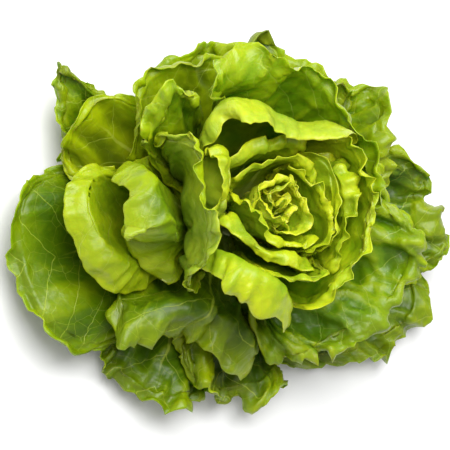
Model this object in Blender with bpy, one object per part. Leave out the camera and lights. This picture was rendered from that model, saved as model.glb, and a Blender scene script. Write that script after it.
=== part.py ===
"""A head of butterhead lettuce: nested, rolled and waved leaves that grow from one short cut stem.

The head stands on the cut face of its stem, with the origin in the middle of that face and +Z up.
All sizes below are in millimetres. Azimuths are in degrees, seen from above, counter-clockwise from +X.
"""
from dataclasses import dataclass, replace

import bmesh
import bpy
import numpy as np

MM = 0.001

# Stem: a short taper, cut flat.
STEM_RADIUS = 17.0
STEM_SHOULDER = 20.0
STEM_TOP_RADIUS = 8.0
STEM_TOP = 52.0
STEM_SIDES = 24
ROOT_CLEARANCE = 1.5

# Leaves.
BLADE_THICKNESS = 0.8
RIB_THICKNESS = 1.6
CLEARANCE = 1.1
HEM_STEPS = 24

# Rows of the blade, rows of the hem and columns of each size of leaf, and places checked between two.
LARGE = (6, 4, 13)
FOLDED = (5, 5, 13)
SMALL = (5, 3, 11)
TINY = (5, 3, 9)
BETWEEN = 4

# Heart: the smallest leaves, on the golden angle round a small core.
HEART_LEAVES = 8
GOLDEN_ANGLE = 137.5
HEART_TOP = 103.0
HEART_DEPTH = 12.0
HEART_RADIUS = 18.0
CORE_SIDES = 16
CORE_PROFILE = ((6.0, 53.0), (9.5, 57.0), (11.0, 63.0), (9.0, 71.0), (4.0, 79.0))

# Leaves round the upright middle are kept apart along lines from a point low in the heart, and the
# spreading ones along lines from a point above the head, which meet them more squarely.
UPRIGHT_FROM = 82.0
SPREAD_FROM = 132.0
CELL = np.radians(1.25)

LEAF_COLOURS = {
    "heart_green": (0.62, 0.66, 0.05),
    "ring_green": (0.45, 0.56, 0.03),
    "wrapper_green": (0.27, 0.42, 0.03),
    "outer_green": (0.13, 0.27, 0.02),
    "stem_white": (0.70, 0.74, 0.42),
}


@dataclass(frozen=True)
class Leaf:
    """One leaf: where its crest runs, and how it bulges, waves and rolls.

    root: height on the stem where it grows.
    rim: crest of the leaf, as (azimuth, radius, height), counter-clockwise.
    belly: how far the blade bulges out and down, as a share of its length.
    hem, curl: length of the strip beyond the crest, and the degrees that it rolls back.
    bend: how the hem turns, from a sharp fold at the crest (0.4) to an even roll (0.9).
    waves: how many waves the hem has, their size in degrees, and their phase in turns.
    flutes: how many folds run up the blade, their size in mm, and their phase in turns.
    flaps: places where the hem differs: place across the leaf (-1 to 1), half-width, extra length
        as a share of the hem, extra degrees.
    """

    name: str
    root: float
    rim: tuple
    belly: float = 0.2
    hem: float = 10.0
    curl: float = 30.0
    bend: float = 0.9
    waves: tuple = (3.0, 30.0, 0.0)
    flutes: tuple = (3.0, 1.5, 0.0)
    flaps: tuple = ()
    lattice: tuple = LARGE
    root_radius: float = 0.0
    kept_from: float = UPRIGHT_FROM
    material: str = "ring_green"


RING_LEAVES = (
    Leaf("inner_low", 50.0, ((172, 27, 96), (192, 24, 104), (225, 22, 106), (260, 21, 105), (308, 25, 97)),
         belly=0.10, hem=9, curl=80, waves=(3, 35, 0.1), flutes=(3, 1.2, 0.0), flaps=((0.8, 0.4, -0.6, 0),),
         lattice=SMALL),
    Leaf("inner_right", 48.6, ((300, 26, 95), (316, 25, 104), (345, 23, 107), (30, 22, 107), (75, 25, 99)),
         belly=0.10, hem=6, curl=5, waves=(3, 30, 0.4), flutes=(3, 1.2, 0.3), lattice=SMALL),
    Leaf("inner_top", 47.2, ((45, 26, 97), (68, 26, 104), (95, 26, 106), (125, 29, 105), (152, 33, 97)),
         belly=0.10, hem=8, curl=45, waves=(3, 35, 0.7), flutes=(3, 1.2, 0.6), lattice=SMALL),
    Leaf("low_band", 45.8, ((190, 37, 99), (202, 35, 108), (225, 32, 110), (264, 29, 108), (294, 32, 99)),
         belly=0.12, hem=12, curl=110, bend=0.5, waves=(3, 25, 0.3), flutes=(3, 1.5, 0.2),
         flaps=((0.9, 0.4, -0.7, 0),), lattice=SMALL),
    Leaf("right_band", 44.4, ((312, 35, 97), (326, 32, 106), (347, 29, 108), (20, 28, 109), (60, 33, 99)),
         belly=0.12, hem=6, curl=5, waves=(3, 30, 0.0), flutes=(3, 1.2, 0.7), lattice=SMALL),
    Leaf("point", 43.1, ((246, 41, 97), (260, 39, 108), (276, 37, 113), (292, 38, 109), (306, 42, 99)),
         belly=0.13, hem=7, curl=45, waves=(3, 30, 0.2), flutes=(2, 1.2, 0.0), lattice=SMALL),
    Leaf("top_fold", 41.7, ((74, 34, 97), (94, 34, 106), (112, 35, 109), (132, 40, 107), (150, 46, 97)),
         belly=0.14, hem=12, curl=85, bend=0.5, waves=(3, 30, 0.3), flutes=(3, 1.2, 0.4),
         lattice=SMALL),
    Leaf("ring_left", 40.3, ((142, 46, 95), (150, 43, 107), (164, 41, 111), (178, 42, 110), (194, 46, 97)),
         belly=0.13, hem=11, curl=75, bend=0.6, waves=(3, 30, 0.6), flutes=(3, 1.5, 0.0)),
    Leaf("fold_right", 38.9, ((316, 42, 97), (332, 38, 108), (357, 35, 112), (14, 36, 114), (28, 37, 111),
                              (44, 41, 99)),
         belly=0.15, hem=11, curl=5, waves=(3, 30, 0.0), flutes=(3, 1.5, 0.5),
         flaps=((0.3, 0.26, 0.8, 150),)),
    Leaf("ring_right", 37.5, ((284, 58, 92), (294, 54, 100), (316, 47, 109), (345, 42, 112), (15, 41, 112),
                              (38, 43, 110), (60, 46, 98)),
         belly=0.17, hem=8, curl=20, waves=(4, 35, 0.2), flutes=(4, 1.8, 0.2)),
    Leaf("flap_low", 36.1, ((208, 54, 97), (215, 52, 110), (226, 50, 116), (240, 48, 117), (256, 49, 114),
                            (272, 54, 103)),
         belly=0.15, hem=26, curl=125, bend=0.45, waves=(3, 25, 0.2), flutes=(3, 2.0, 0.7),
         flaps=((-0.9, 0.5, -0.8, 0), (0.8, 0.35, -0.6, -20)), lattice=FOLDED),
    Leaf("arch_top", 34.7, ((46, 56, 94), (58, 58, 104), (76, 55, 107), (89, 55, 109), (106, 64, 109),
                            (121, 76, 108), (133, 77, 102), (145, 68, 92)),
         belly=0.20, hem=25, curl=-85, bend=0.5, waves=(3, 8, 0.1), flutes=(3, 2.0, 0.1),
         flaps=((-0.75, 0.3, -0.5, 0), (0.85, 0.4, -0.45, 60)), lattice=FOLDED),
)

WRAPPER_LEAVES = (
    Leaf("wrap_right", 33.3, ((340, 60, 84), (354, 60, 96), (8, 60, 100), (26, 63, 101), (42, 69, 102),
                              (58, 74, 102), (74, 82, 104), (88, 86, 105), (103, 84, 105), (117, 84, 96)),
         belly=0.22, hem=13, curl=-25, waves=(5, 40, 0.0), flutes=(4, 2.5, 0.0),
         flaps=((0.42, 0.12, 0.5, 140), (0.75, 0.25, 0.5, -70))),
    Leaf("tall_left", 31.9, ((150, 84, 82), (153, 76, 99), (162, 62, 108), (180, 54, 110), (203, 52, 103),
                             (217, 56, 88), (225, 62, 76)),
         belly=0.15, hem=9, curl=5, waves=(4, 35, 0.3), flutes=(4, 2.5, 0.3)),
    Leaf("fold_top_left", 30.5, ((128, 80, 73), (133, 90, 93), (139, 98, 101), (145, 94, 93), (152, 84, 73)),
         belly=0.12, hem=12, curl=40, flutes=(2, 4.5, 0.25), lattice=SMALL),
    Leaf("narrow_left", 29.1, ((163, 92, 78), (168, 90, 92), (174, 86, 99), (181, 80, 101), (189, 74, 98),
                               (197, 70, 84)),
         belly=0.12, hem=23, curl=120, bend=0.4, waves=(2, 12, 0.5), flutes=(2, 1.5, 0.0),
         flaps=((-0.7, 0.35, -0.6, -40), (0.35, 0.26, 0.9, 0), (0.9, 0.3, -0.5, -60)), lattice=FOLDED),
    Leaf("glossy_low_right", 27.7, ((286, 84, 48), (294, 92, 57), (306, 97, 66), (324, 105, 76),
                                    (340, 108, 82), (352, 98, 86), (4, 86, 84), (14, 74, 76)),
         belly=0.14, hem=14, curl=85, bend=0.8, waves=(4, 30, 0.3), flutes=(5, 3.5, 0.2)),
    Leaf("folded_left", 26.0, ((168, 106, 52), (173, 115, 60), (179, 117, 64), (185, 114, 65),
                               (192, 109, 65), (198, 101, 62), (203, 88, 54)),
         belly=0.2, hem=15, curl=95, bend=0.35, waves=(3, 10, 0.1), flutes=(2, 1.5, 0.3),
         flaps=((-0.8, 0.4, -0.5, -70), (0.3, 0.35, 0.6, 5), (0.95, 0.3, -0.4, 0)), lattice=FOLDED),
)

OUTER_LEAVES = (
    Leaf("low_left", 25.0, ((211, 84, 56), (217, 80, 64), (227, 74, 67), (241, 68, 64), (256, 66, 57),
                            (270, 70, 50), (281, 77, 44)),
         belly=0.05, hem=34, curl=100, bend=0.5, waves=(3, 35, 0.3), flutes=(4, 3.0, 0.0),
         flaps=((-0.9, 0.45, -0.6, 0), (0.9, 0.5, -0.55, 0)), lattice=FOLDED),
    Leaf("arch_upper_left", 23.6, ((100, 92, 52), (111, 98, 62), (120, 101, 66), (133, 108, 66),
                                   (143, 104, 62), (149, 96, 56), (157, 82, 46)),
         belly=0.06, hem=9, curl=-15, waves=(4, 35, 0.0), flutes=(3, 3.0, 0.3)),
    Leaf("top", 22.2, ((41, 112, 40), (49, 110, 48), (60, 102, 54), (73, 102, 56), (84, 108, 56),
                       (93, 104, 50), (98, 92, 40)),
         belly=0.06, hem=10, curl=0, waves=(4, 35, 0.2), flutes=(4, 3.5, 0.1)),
    Leaf("right_upper", 20.8, ((8, 92, 36), (17, 113, 42), (28, 107, 55), (37, 116, 57), (45, 102, 50),
                               (52, 88, 38)),
         belly=0.08, hem=12, curl=20, waves=(4, 45, 0.5), flutes=(3, 3.5, 0.0)),
    Leaf("upper_left", 19.4, ((128, 88, 40), (137, 98, 49), (143, 115, 54), (150, 127, 48), (157, 127, 38),
                              (163, 119, 28), (170, 92, 22)),
         belly=0.05, hem=10, curl=0, waves=(4, 35, 0.5), flutes=(4, 3.5, 0.6)),
    Leaf("right", 18.0, ((338, 112, 22), (347, 141, 28), (354, 156, 33), (2, 140, 37), (9, 138, 42),
                         (16, 124, 42), (25, 94, 34)),
         belly=0.05, hem=16, curl=20, waves=(4, 50, 0.2), flutes=(4, 3.5, 0.0)),
    Leaf("top_behind", 16.6, ((93, 86, 36), (100, 98, 44), (112, 102, 47), (122, 101, 45), (132, 84, 34)),
         belly=0.05, hem=10, curl=0, waves=(3, 35, 0.0), flutes=(4, 2.5, 0.5)),
    Leaf("low_right", 15.2, ((292, 86, 15), (304, 112, 16), (317, 128, 18), (328, 144, 20), (337, 149, 24),
                             (346, 142, 24), (353, 112, 20)),
         belly=0.04, hem=12, curl=0, waves=(4, 40, 0.0), flutes=(4, 3.5, 0.4)),
    Leaf("left", 13.8, ((165, 98, 21), (172, 132, 25), (178, 146, 28), (188, 146, 28), (200, 148, 28),
                        (213, 140, 26), (224, 112, 24)),
         belly=0.03, hem=12, curl=0, waves=(4, 35, 0.1), flutes=(4, 3.5, 0.3)),
    Leaf("low_front", 12.4, ((246, 84, 27), (254, 100, 30), (264, 108, 30), (276, 104, 30), (286, 98, 29),
                             (295, 84, 26)),
         belly=0.03, hem=16, curl=30, waves=(4, 60, 0.1), flutes=(4, 3.5, 0.2)),
    Leaf("far_upper_left", 11.2, ((139, 92, 25), (141, 126, 31), (143, 148, 34), (149, 133, 28),
                                  (156, 123, 22), (163, 94, 18)),
         belly=0.02, hem=9, curl=0, waves=(4, 45, 0.1), flutes=(4, 3.0, 0.0)),
    Leaf("lowest", 10.0, ((221, 90, 24), (230, 114, 25), (240, 124, 24), (251, 122, 23), (260, 108, 22),
                          (268, 84, 20)),
         belly=0.02, hem=12, curl=10, waves=(4, 45, 0.6), flutes=(4, 3.0, 0.5)),
)


def stem_radius(height):
    """Radius of the stem at a height: straight up to its shoulder, then tapering."""
    return np.interp(height, [STEM_SHOULDER, STEM_TOP], [STEM_RADIUS, STEM_TOP_RADIUS])


def smooth(x):
    """Smooth step from 0 to 1."""
    x = np.clip(x, 0.0, 1.0)
    return x * x * (3.0 - 2.0 * x)


def unit(vectors):
    """Vectors of length 1."""
    return vectors / (np.linalg.norm(vectors, axis=-1, keepdims=True) + 1e-12)


def polar(azimuth, radius, height):
    """Points from azimuths in degrees, radii and heights."""
    angle = np.radians(azimuth)
    return np.stack(np.broadcast_arrays(radius * np.cos(angle), radius * np.sin(angle), height), -1)


def corner_value(i, j, seed):
    """A fixed draw between -1 and 1 for each corner of a grid."""
    value = np.sin(i * 127.1 + j * 311.7 + seed * 74.7) * 43758.5453
    return (value - np.floor(value)) * 2.0 - 1.0


def noise(x, y, seed):
    """Smooth bumps between -1 and 1 at a spacing of 1."""
    x, y = np.broadcast_arrays(np.asarray(x, float), np.asarray(y, float))
    i, j = np.floor(x), np.floor(y)
    u, v = smooth(x - i), smooth(y - j)
    near = corner_value(i, j, seed) * (1 - u) + corner_value(i + 1, j, seed) * u
    far = corner_value(i, j + 1, seed) * (1 - u) + corner_value(i + 1, j + 1, seed) * u
    return near * (1 - v) + far * v


def spline_weights(knots, places):
    """Weights that turn values at the knots into a natural cubic spline's values at the places."""
    count = len(knots)
    step = np.diff(knots)
    left = np.eye(count)
    right = np.zeros((count, count))
    for k in range(1, count - 1):
        left[k, k - 1:k + 2] = step[k - 1], 2 * (step[k - 1] + step[k]), step[k]
        right[k, k - 1:k + 2] = 6 / step[k - 1], -6 / step[k - 1] - 6 / step[k], 6 / step[k]
    bend = np.linalg.solve(left, right)
    k = np.clip(np.searchsorted(knots, places) - 1, 0, count - 2)
    b = (places - knots[k]) / step[k]
    a = 1 - b
    value = np.eye(count)
    straight = a[:, None] * value[k] + b[:, None] * value[k + 1]
    curved = (a ** 3 - a)[:, None] * bend[k] + (b ** 3 - b)[:, None] * bend[k + 1]
    return straight + curved * (step[k] ** 2)[:, None] / 6


def line_weights(count, times):
    """Weights that put straight-line values between each pair of neighbours."""
    places = np.linspace(0, count - 1, (count - 1) * times + 1)
    return np.maximum(0.0, 1.0 - np.abs(places[:, None] - np.arange(count)[None, :]))


def normals(points):
    """Directions out of the outer face of a grid of points."""
    return unit(np.cross(np.gradient(points, axis=1), np.gradient(points, axis=0)))


def lattice(leaf):
    """Places along a leaf, 0 at the root, 1 at the crest and 2 at the edge, and across it, -1 to 1."""
    blade_rows, hem_rows, columns = leaf.lattice
    along = np.concatenate([np.linspace(0, 1, blade_rows) ** 0.9,
                            1 + np.linspace(0, 1, hem_rows)[1:] ** 1.3])
    return along, np.linspace(-1, 1, columns)


def crest_line(leaf, across):
    """Root points on the stem, crest points, and each ray's azimuth, for places across a leaf."""
    rim = np.array(leaf.rim, float)
    azimuth = np.unwrap(rim[:, 0], period=360)
    crest = polar(azimuth, rim[:, 1], rim[:, 2])
    middle = np.interp(0.5, np.linspace(0, 1, len(azimuth)), azimuth)
    radius = leaf.root_radius or float(stem_radius(leaf.root)) + ROOT_CLEARANCE
    half_width = 7.0 + 0.04 * np.linalg.norm(crest[-1] - crest[0])
    turn = np.degrees(half_width / radius)
    points = list(crest)
    for side, end in ((-1, crest[0]), (1, crest[-1])):
        corner = polar(middle + side * turn, radius, leaf.root)
        way_out = [corner + (end - corner) * np.array([share, share, 0.6 * share]) for share in (0.12, 0.4)]
        points = way_out + points if side < 0 else points + way_out[::-1]
    points = np.array(points)
    place = np.concatenate([[0], np.cumsum(np.linalg.norm(np.diff(points, axis=0), axis=1) ** 0.8)])
    line = spline_weights(2 * place / place[-1] - 1, across) @ points
    start = polar(middle + across * turn, radius, leaf.root)
    away = (np.degrees(np.arctan2(line[:, 1], line[:, 0])) - middle + 180) % 360 - 180
    near_axis = smooth(np.hypot(line[:, 0], line[:, 1]) / 30.0)
    return start, line, middle + 0.6 * np.clip(away, -75, 75) * near_axis


def roll_hem(leaf, along, across, tangent, outward, seed):
    """Steps from the crest to each place of the hem: a strip whose angle grows as its length to a power."""
    flaps = [(np.exp(-((across - place) / half_width) ** 2), more_hem, more_curl)
             for place, half_width, more_hem, more_curl in leaf.flaps]
    taper = smooth((1 - np.abs(across)) / 0.3)
    ragged = 1 + sum(more_hem * bump for bump, more_hem, _ in flaps) + 0.25 * noise(across * 6 + 3, 0, seed)
    length = leaf.hem * np.maximum(taper * ragged, 0.12)
    count, size, phase = leaf.waves
    waves = size * np.sin(2 * np.pi * (count * across / 2 + phase)) * taper
    curl = leaf.curl + waves + sum(more_curl * bump for bump, _, more_curl in flaps)
    fine = np.linspace(0, 1, HEM_STEPS + 1)
    angle = np.radians(curl) * fine[:, None] ** leaf.bend
    middle = 0.5 * (angle[1:] + angle[:-1])
    ahead = np.concatenate([0 * angle[:1], np.cumsum(np.cos(middle), axis=0)]) / HEM_STEPS
    aside = np.concatenate([0 * angle[:1], np.cumsum(np.sin(middle), axis=0)]) / HEM_STEPS
    rows = np.clip(along - 1, 0, 1)
    weights = np.maximum(0, 1 - np.abs(rows[:, None] * HEM_STEPS - np.arange(HEM_STEPS + 1)[None, :]))
    return ((weights @ ahead * length)[..., None] * tangent
            + (weights @ aside * length)[..., None] * outward)


def blade(leaf, along, across, seed):
    """Middle surface of a leaf before it is kept clear of the others, as rows by columns of points."""
    start, line, azimuth = crest_line(leaf, across)
    chord = line - start
    length = np.linalg.norm(chord, axis=1, keepdims=True)
    outward = polar(azimuth, 0.77, -0.64)
    ahead = chord / np.maximum(length, 1e-6)
    bulge = unit(outward - (outward * ahead).sum(-1, keepdims=True) * ahead)
    inside = smooth((1 - np.abs(across)) / 0.25)
    control = start + 0.5 * chord + leaf.belly * length * bulge * (0.3 + 0.7 * inside[:, None])
    share = np.clip(along, 0, 1)[:, None, None]
    points = (1 - share) ** 2 * start + 2 * share * (1 - share) * control + share ** 2 * line
    tangent = unit(line - control)
    outer = unit(np.cross(np.gradient(line, across, axis=0), tangent))
    points = points + roll_hem(leaf, along, across, tangent, outer, seed)
    count, size, phase = leaf.flutes
    rise = smooth(share[..., 0] * 1.05) ** 1.3
    folds = np.sin(2 * np.pi * (count * across / 2 + phase)) * inside
    dents = 0.9 * noise(share[..., 0] * across * 3.2 + 11, along[:, None] * 2.6 + 5, seed + 50)
    return points + normals(points) * (size * rise * (folds + dents))[..., None]


def rib(along, across):
    """Extra thickness of the midrib on the outer face: thick at the root and gone at the crest."""
    rise = np.clip(1 - along, 0, 1)[:, None] ** 0.7
    return RIB_THICKNESS * rise * np.clip(1 - np.abs(across)[None, :] / 0.17, 0, 1)


def away_from(points, height):
    """Directions and distances of points from a point on the axis."""
    offset = points - np.array([0.0, 0.0, height])
    distance = np.linalg.norm(offset, axis=-1)
    return offset / np.maximum(distance, 1e-9)[..., None], distance


class Envelope:
    """How far the pieces placed so far reach in each direction from a point on the axis."""

    def __init__(self, height):
        self.height = height
        self.down = int(np.pi / CELL) + 3
        self.round = int(round(2 * np.pi / CELL))
        self.reach = np.zeros((self.down, self.round))

    def cells(self, points):
        direction, distance = away_from(points, self.height)
        row = (np.arccos(np.clip(-direction[..., 2], -1, 1)) / CELL).astype(int) + 1
        azimuth = np.arctan2(direction[..., 1], direction[..., 0])
        column = (azimuth / CELL + self.round).astype(int) % self.round
        return row, column, distance

    def add(self, points):
        row, column, distance = self.cells(points)
        np.maximum.at(self.reach, (row.ravel(), column.ravel()), distance.ravel())

    def shortfall(self, points, gap):
        """How much further out each point must go to lie a gap beyond everything in its direction."""
        row, column, distance = self.cells(points)
        most = np.zeros(distance.shape)
        for i in (-1, 0, 1):
            for j in (-1, 0, 1):
                cell = np.clip(row + i, 0, self.down - 1), (column + j) % self.round
                most = np.maximum(most, self.reach[cell])
        return np.where(most > 0, np.maximum(most + gap - distance, 0), 0)


def soften(values):
    """Spread values over their neighbours without losing more than two fifths of any."""
    padded = np.pad(values, 1, mode="edge")
    near = padded[2:, 1:-1] + padded[:-2, 1:-1] + padded[1:-1, 2:] + padded[1:-1, :-2]
    spread = 0.4 * values + 0.15 * near
    return np.maximum(spread, 0.6 * values)


def settle(leaf, envelope, seed, rounds=8):
    """Push a leaf straight out until it clears every piece placed before it.

    Returns the leaf's lattice of points after the push.
    """
    along, across = lattice(leaf)
    points = blade(leaf, along, across, seed)
    direction, distance = away_from(points, leaf.kept_from)
    push = np.zeros(distance.shape)
    crest_row = leaf.lattice[0] - 1
    row_weights, column_weights = line_weights(len(along), BETWEEN), line_weights(len(across), BETWEEN)
    for step in range(rounds):
        now = points + push[..., None] * direction
        inner_face = now - normals(now) * BLADE_THICKNESS / 2
        checked = np.einsum("ij,jkc,lk->ilc", row_weights, inner_face, column_weights)
        short = envelope.shortfall(checked, CLEARANCE)
        if short.max() < 0.05:
            break
        padded = np.pad(short, BETWEEN - 1)
        more = np.zeros(distance.shape)
        for i in range(2 * BETWEEN - 1):
            for j in range(2 * BETWEEN - 1):
                more = np.maximum(more, padded[i:i + short.shape[0]:BETWEEN, j:j + short.shape[1]:BETWEEN])
        if step < rounds - 3:
            more = soften(soften(more))
        push = push + more
        push[crest_row + 1:] = np.maximum(push[crest_row + 1:], push[crest_row])
    return points + push[..., None] * direction


def both_faces(leaf, points):
    """Inner and outer face of a leaf round its middle surface."""
    along, across = lattice(leaf)
    out = normals(points)
    half = BLADE_THICKNESS / 2
    return points - out * half, points + out * (half + rib(along, across))[..., None]


def leaf_mesh(name, inner, outer):
    """A closed solid between two grids of points, with like triangles on both faces."""
    rows, columns = inner.shape[:2]
    vertices = np.concatenate([inner.reshape(-1, 3), outer.reshape(-1, 3)]) * MM
    index = np.arange(rows * columns).reshape(rows, columns)
    a, b, c, d = index[:-1, :-1], index[:-1, 1:], index[1:, 1:], index[1:, :-1]
    one = np.stack([a, b, c], -1).reshape(-1, 3)
    two = np.stack([a, c, d], -1).reshape(-1, 3)
    face = np.concatenate([one, two])
    shift = rows * columns
    border = np.concatenate([index[0, :-1], index[:-1, -1], index[-1, :0:-1], index[:0:-1, 0]])
    following = np.roll(border, -1)
    side_one = np.stack([border, following, following + shift], -1)
    side_two = np.stack([border, following + shift, border + shift], -1)
    faces = np.concatenate([face[:, ::-1], face + shift, side_one, side_two])
    mesh = bpy.data.meshes.new(name)
    mesh.from_pydata(vertices.tolist(), [], faces.tolist())
    mesh.validate()
    mesh.shade_smooth()
    return mesh


def material(name):
    """A plain leaf or stem material in its colour."""
    found = bpy.data.materials.get(name)
    if found:
        return found
    made = bpy.data.materials.new(name)
    made.use_nodes = True
    shader = made.node_tree.nodes["Principled BSDF"]
    shader.inputs["Base Color"].default_value = (*LEAF_COLOURS[name], 1.0)
    shader.inputs["Roughness"].default_value = 0.45
    shader.inputs["Metallic"].default_value = 0.0
    return made


def add_object(name, mesh, material_name):
    """One named object in the scene with its material."""
    made = bpy.data.objects.new(name, mesh)
    made.data.materials.append(material(material_name))
    bpy.context.scene.collection.objects.link(made)
    return made


def turned(name, profile, sides):
    """A closed solid turned from (radius, height) points, with flat ends."""
    model = bmesh.new()
    rings = []
    for radius, height in profile:
        azimuths = np.arange(sides) * 360.0 / sides
        rings.append([model.verts.new(p * MM) for p in polar(azimuths, radius, height)])
    for low, high in zip(rings[:-1], rings[1:]):
        for k in range(sides):
            model.faces.new((low[k], low[(k + 1) % sides], high[(k + 1) % sides], high[k]))
    model.faces.new(rings[0][::-1])
    model.faces.new(rings[-1])
    mesh = bpy.data.meshes.new(name)
    model.to_mesh(mesh)
    model.free()
    return mesh


def heart_leaves():
    """The smallest leaves by rule: each a golden angle on, a little wider, higher and lower rooted."""
    leaves = []
    for number in range(HEART_LEAVES):
        share = number / (HEART_LEAVES - 1)
        draw = np.random.default_rng(40 + number)
        jitter = draw.uniform(-1, 1, 8)
        azimuth = 250.0 + number * GOLDEN_ANGLE
        radius = 4.0 + (HEART_RADIUS - 4.0) * share
        height = HEART_TOP - HEART_DEPTH * (1 - share)
        middle = polar(63.0, 6.5 * (1 - share), 0.0)
        places = np.linspace(-1, 1, 5)
        dip = 1 - 0.25 * (1 - np.abs(places)) * (1 - share) - 0.1 * jitter[:5]
        crest = polar(azimuth + places * (72.0 + 8.0 * jitter[0]), radius * dip, 0.0) + middle
        azimuths = np.unwrap(np.degrees(np.arctan2(crest[:, 1], crest[:, 0])), period=360)
        heights = height - 12.0 * places ** 2 + 3.0 * jitter[:5]
        leaves.append(Leaf(
            f"heart_{number + 1:02d}", 65.0 - 1.2 * number,
            tuple(zip(azimuths, np.hypot(crest[:, 0], crest[:, 1]), heights)),
            belly=0.1, hem=5.0 + share, curl=10.0 + 25.0 * share,
            waves=(3.0 + jitter[1], 40.0, draw.uniform()), flutes=(3.0 + jitter[2], 1.2, draw.uniform()),
            lattice=TINY, root_radius=3.5 + 4.0 * share, material="heart_green"))
    return leaves


def fill_cavities(mesh):
    """Keep only the outermost shell, so that a pocket sealed between overlapping leaves is solid."""
    model = bmesh.new()
    model.from_mesh(mesh)
    left = set(model.verts)
    shells = []
    while left:
        shell = [left.pop()]
        for vertex in shell:
            near = {edge.other_vert(vertex) for edge in vertex.link_edges} & left
            left -= near
            shell.extend(near)
        shells.append(shell)
    outermost = max(shells, key=len)
    pockets = [vertex for shell in shells if shell is not outermost for vertex in shell]
    bmesh.ops.delete(model, geom=pockets, context="VERTS")
    model.to_mesh(mesh)
    model.free()


def join_solids(name, meshes, material_name):
    """One solid made of several that overlap, by a single union."""
    objects = [add_object(f"{name}_{k}", mesh, material_name) for k, mesh in enumerate(meshes)]
    others = bpy.data.collections.new(f"{name}_parts")
    for extra in objects[1:]:
        others.objects.link(extra)
    joined = objects[0]
    union = joined.modifiers.new("union", "BOOLEAN")
    union.operation = "UNION"
    union.operand_type = "COLLECTION"
    union.collection = others
    union.solver = "MANIFOLD"
    evaluated = joined.evaluated_get(bpy.context.evaluated_depsgraph_get())
    mesh = bpy.data.meshes.new_from_object(evaluated)
    mesh.name = name
    fill_cavities(mesh)
    for extra in objects:
        bpy.data.objects.remove(extra)
    bpy.data.collections.remove(others)
    return add_object(name, mesh, material_name)


def build_heart(envelopes):
    """The heart: its leaves and core in one solid."""
    meshes = [turned("core", CORE_PROFILE, CORE_SIDES)]
    outline = np.array(CORE_PROFILE)
    rows = line_weights(len(outline), 12) @ outline
    azimuths = np.arange(0, 360, 1.0)
    core = polar(azimuths[None, :], rows[:, 0][:, None], rows[:, 1][:, None])
    for envelope in envelopes.values():
        envelope.add(core)
    for seed, leaf in enumerate(heart_leaves()):
        along, across = lattice(leaf)
        points = blade(leaf, along, across, seed)
        inner, outer = both_faces(leaf, points)
        meshes.append(leaf_mesh(leaf.name, inner, outer))
        register(envelopes, outer)
        register(envelopes, inner)
    return join_solids("heart", meshes, "heart_green")


def register(envelopes, face):
    """Note a leaf's face in every envelope, closely enough to leave no hole."""
    rows, columns = line_weights(face.shape[0], 8), line_weights(face.shape[1], 8)
    fine = np.einsum("ij,jkc,lk->ilc", rows, face, columns)
    for envelope in envelopes.values():
        envelope.add(fine)


def build_leaves(envelopes):
    """Every separate leaf, from the innermost outwards."""
    wrappers = tuple(replace(leaf, material="wrapper_green") for leaf in WRAPPER_LEAVES)
    spreading = tuple(replace(leaf, kept_from=SPREAD_FROM, material="outer_green") for leaf in OUTER_LEAVES)
    for number, leaf in enumerate(RING_LEAVES + wrappers + spreading):
        points = settle(leaf, envelopes[leaf.kept_from], HEART_LEAVES + number)
        inner, outer = both_faces(leaf, points)
        register(envelopes, outer)
        add_object(leaf.name, leaf_mesh(leaf.name, inner, outer), leaf.material)


def build_stem():
    """The stem, from its cut face to the underside of the heart."""
    profile = ((STEM_RADIUS, 0.0), (STEM_RADIUS, STEM_SHOULDER), (STEM_TOP_RADIUS, STEM_TOP))
    add_object("stem", turned("stem", profile, STEM_SIDES), "stem_white")


def main():
    """Empty the scene and build the head."""
    for old in list(bpy.data.objects):
        bpy.data.objects.remove(old)
    envelopes = {height: Envelope(height) for height in (UPRIGHT_FROM, SPREAD_FROM)}
    build_stem()
    build_heart(envelopes)
    build_leaves(envelopes)


main()
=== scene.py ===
"""A head of butterhead lettuce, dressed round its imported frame.

Every leaf is a surface on a grid: rays fan out from its root on the stem to its crest, and a hem beyond
the crest rolls or folds over. The coarse grid is the one that the frame was modelled on, and the fine
grid here follows the same surface and adds puckers, ruffles, teeth, ribs and veins. The leaves are
settled from the inside out, so that each lies just outside those before it.

Lengths are millimetres and azimuths degrees until a mesh is written, which turns them to metres.
"""
import logging
import math
from dataclasses import dataclass, field, replace
from enum import Enum
from functools import partial

import bmesh
import bpy
import numpy as np
from mathutils import Matrix, Vector


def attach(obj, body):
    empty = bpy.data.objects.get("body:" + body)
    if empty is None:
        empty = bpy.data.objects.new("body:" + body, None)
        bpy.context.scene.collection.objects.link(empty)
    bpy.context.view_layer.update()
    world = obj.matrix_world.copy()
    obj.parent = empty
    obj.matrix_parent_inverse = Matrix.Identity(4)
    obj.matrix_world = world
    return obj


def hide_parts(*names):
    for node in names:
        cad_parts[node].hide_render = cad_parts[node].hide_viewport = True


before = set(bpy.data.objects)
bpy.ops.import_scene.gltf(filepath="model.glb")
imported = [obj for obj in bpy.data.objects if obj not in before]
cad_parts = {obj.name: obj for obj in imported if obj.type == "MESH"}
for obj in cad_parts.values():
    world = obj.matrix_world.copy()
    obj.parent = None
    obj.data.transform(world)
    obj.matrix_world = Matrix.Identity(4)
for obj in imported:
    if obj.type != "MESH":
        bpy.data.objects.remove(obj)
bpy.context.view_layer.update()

log = logging.getLogger("lettuce")

MM = 0.001
# Flat coordinates and the patterns in them count in hundreds of millimetres.
UV_MM = 100.0

# Heights on the axis that upright leaves and spreading leaves are pushed away from.
UPRIGHT_FROM = 82.0
SPREAD_FROM = 132.0

# The root of a leaf: its distance from the stem, and half its width, which is a fixed part and a share
# of the distance between the ends of its crest.
ROOT_CLEARANCE = 1.5
ROOT_HALF_WIDTH = 7.0
ROOT_SHARE = 0.04
# Rays fan out by this share of their azimuth, up to a widest angle, and less within this radius.
FAN_SHARE = 0.6
FAN_WIDEST = 75.0
FAN_RADIUS = 30.0
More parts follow.
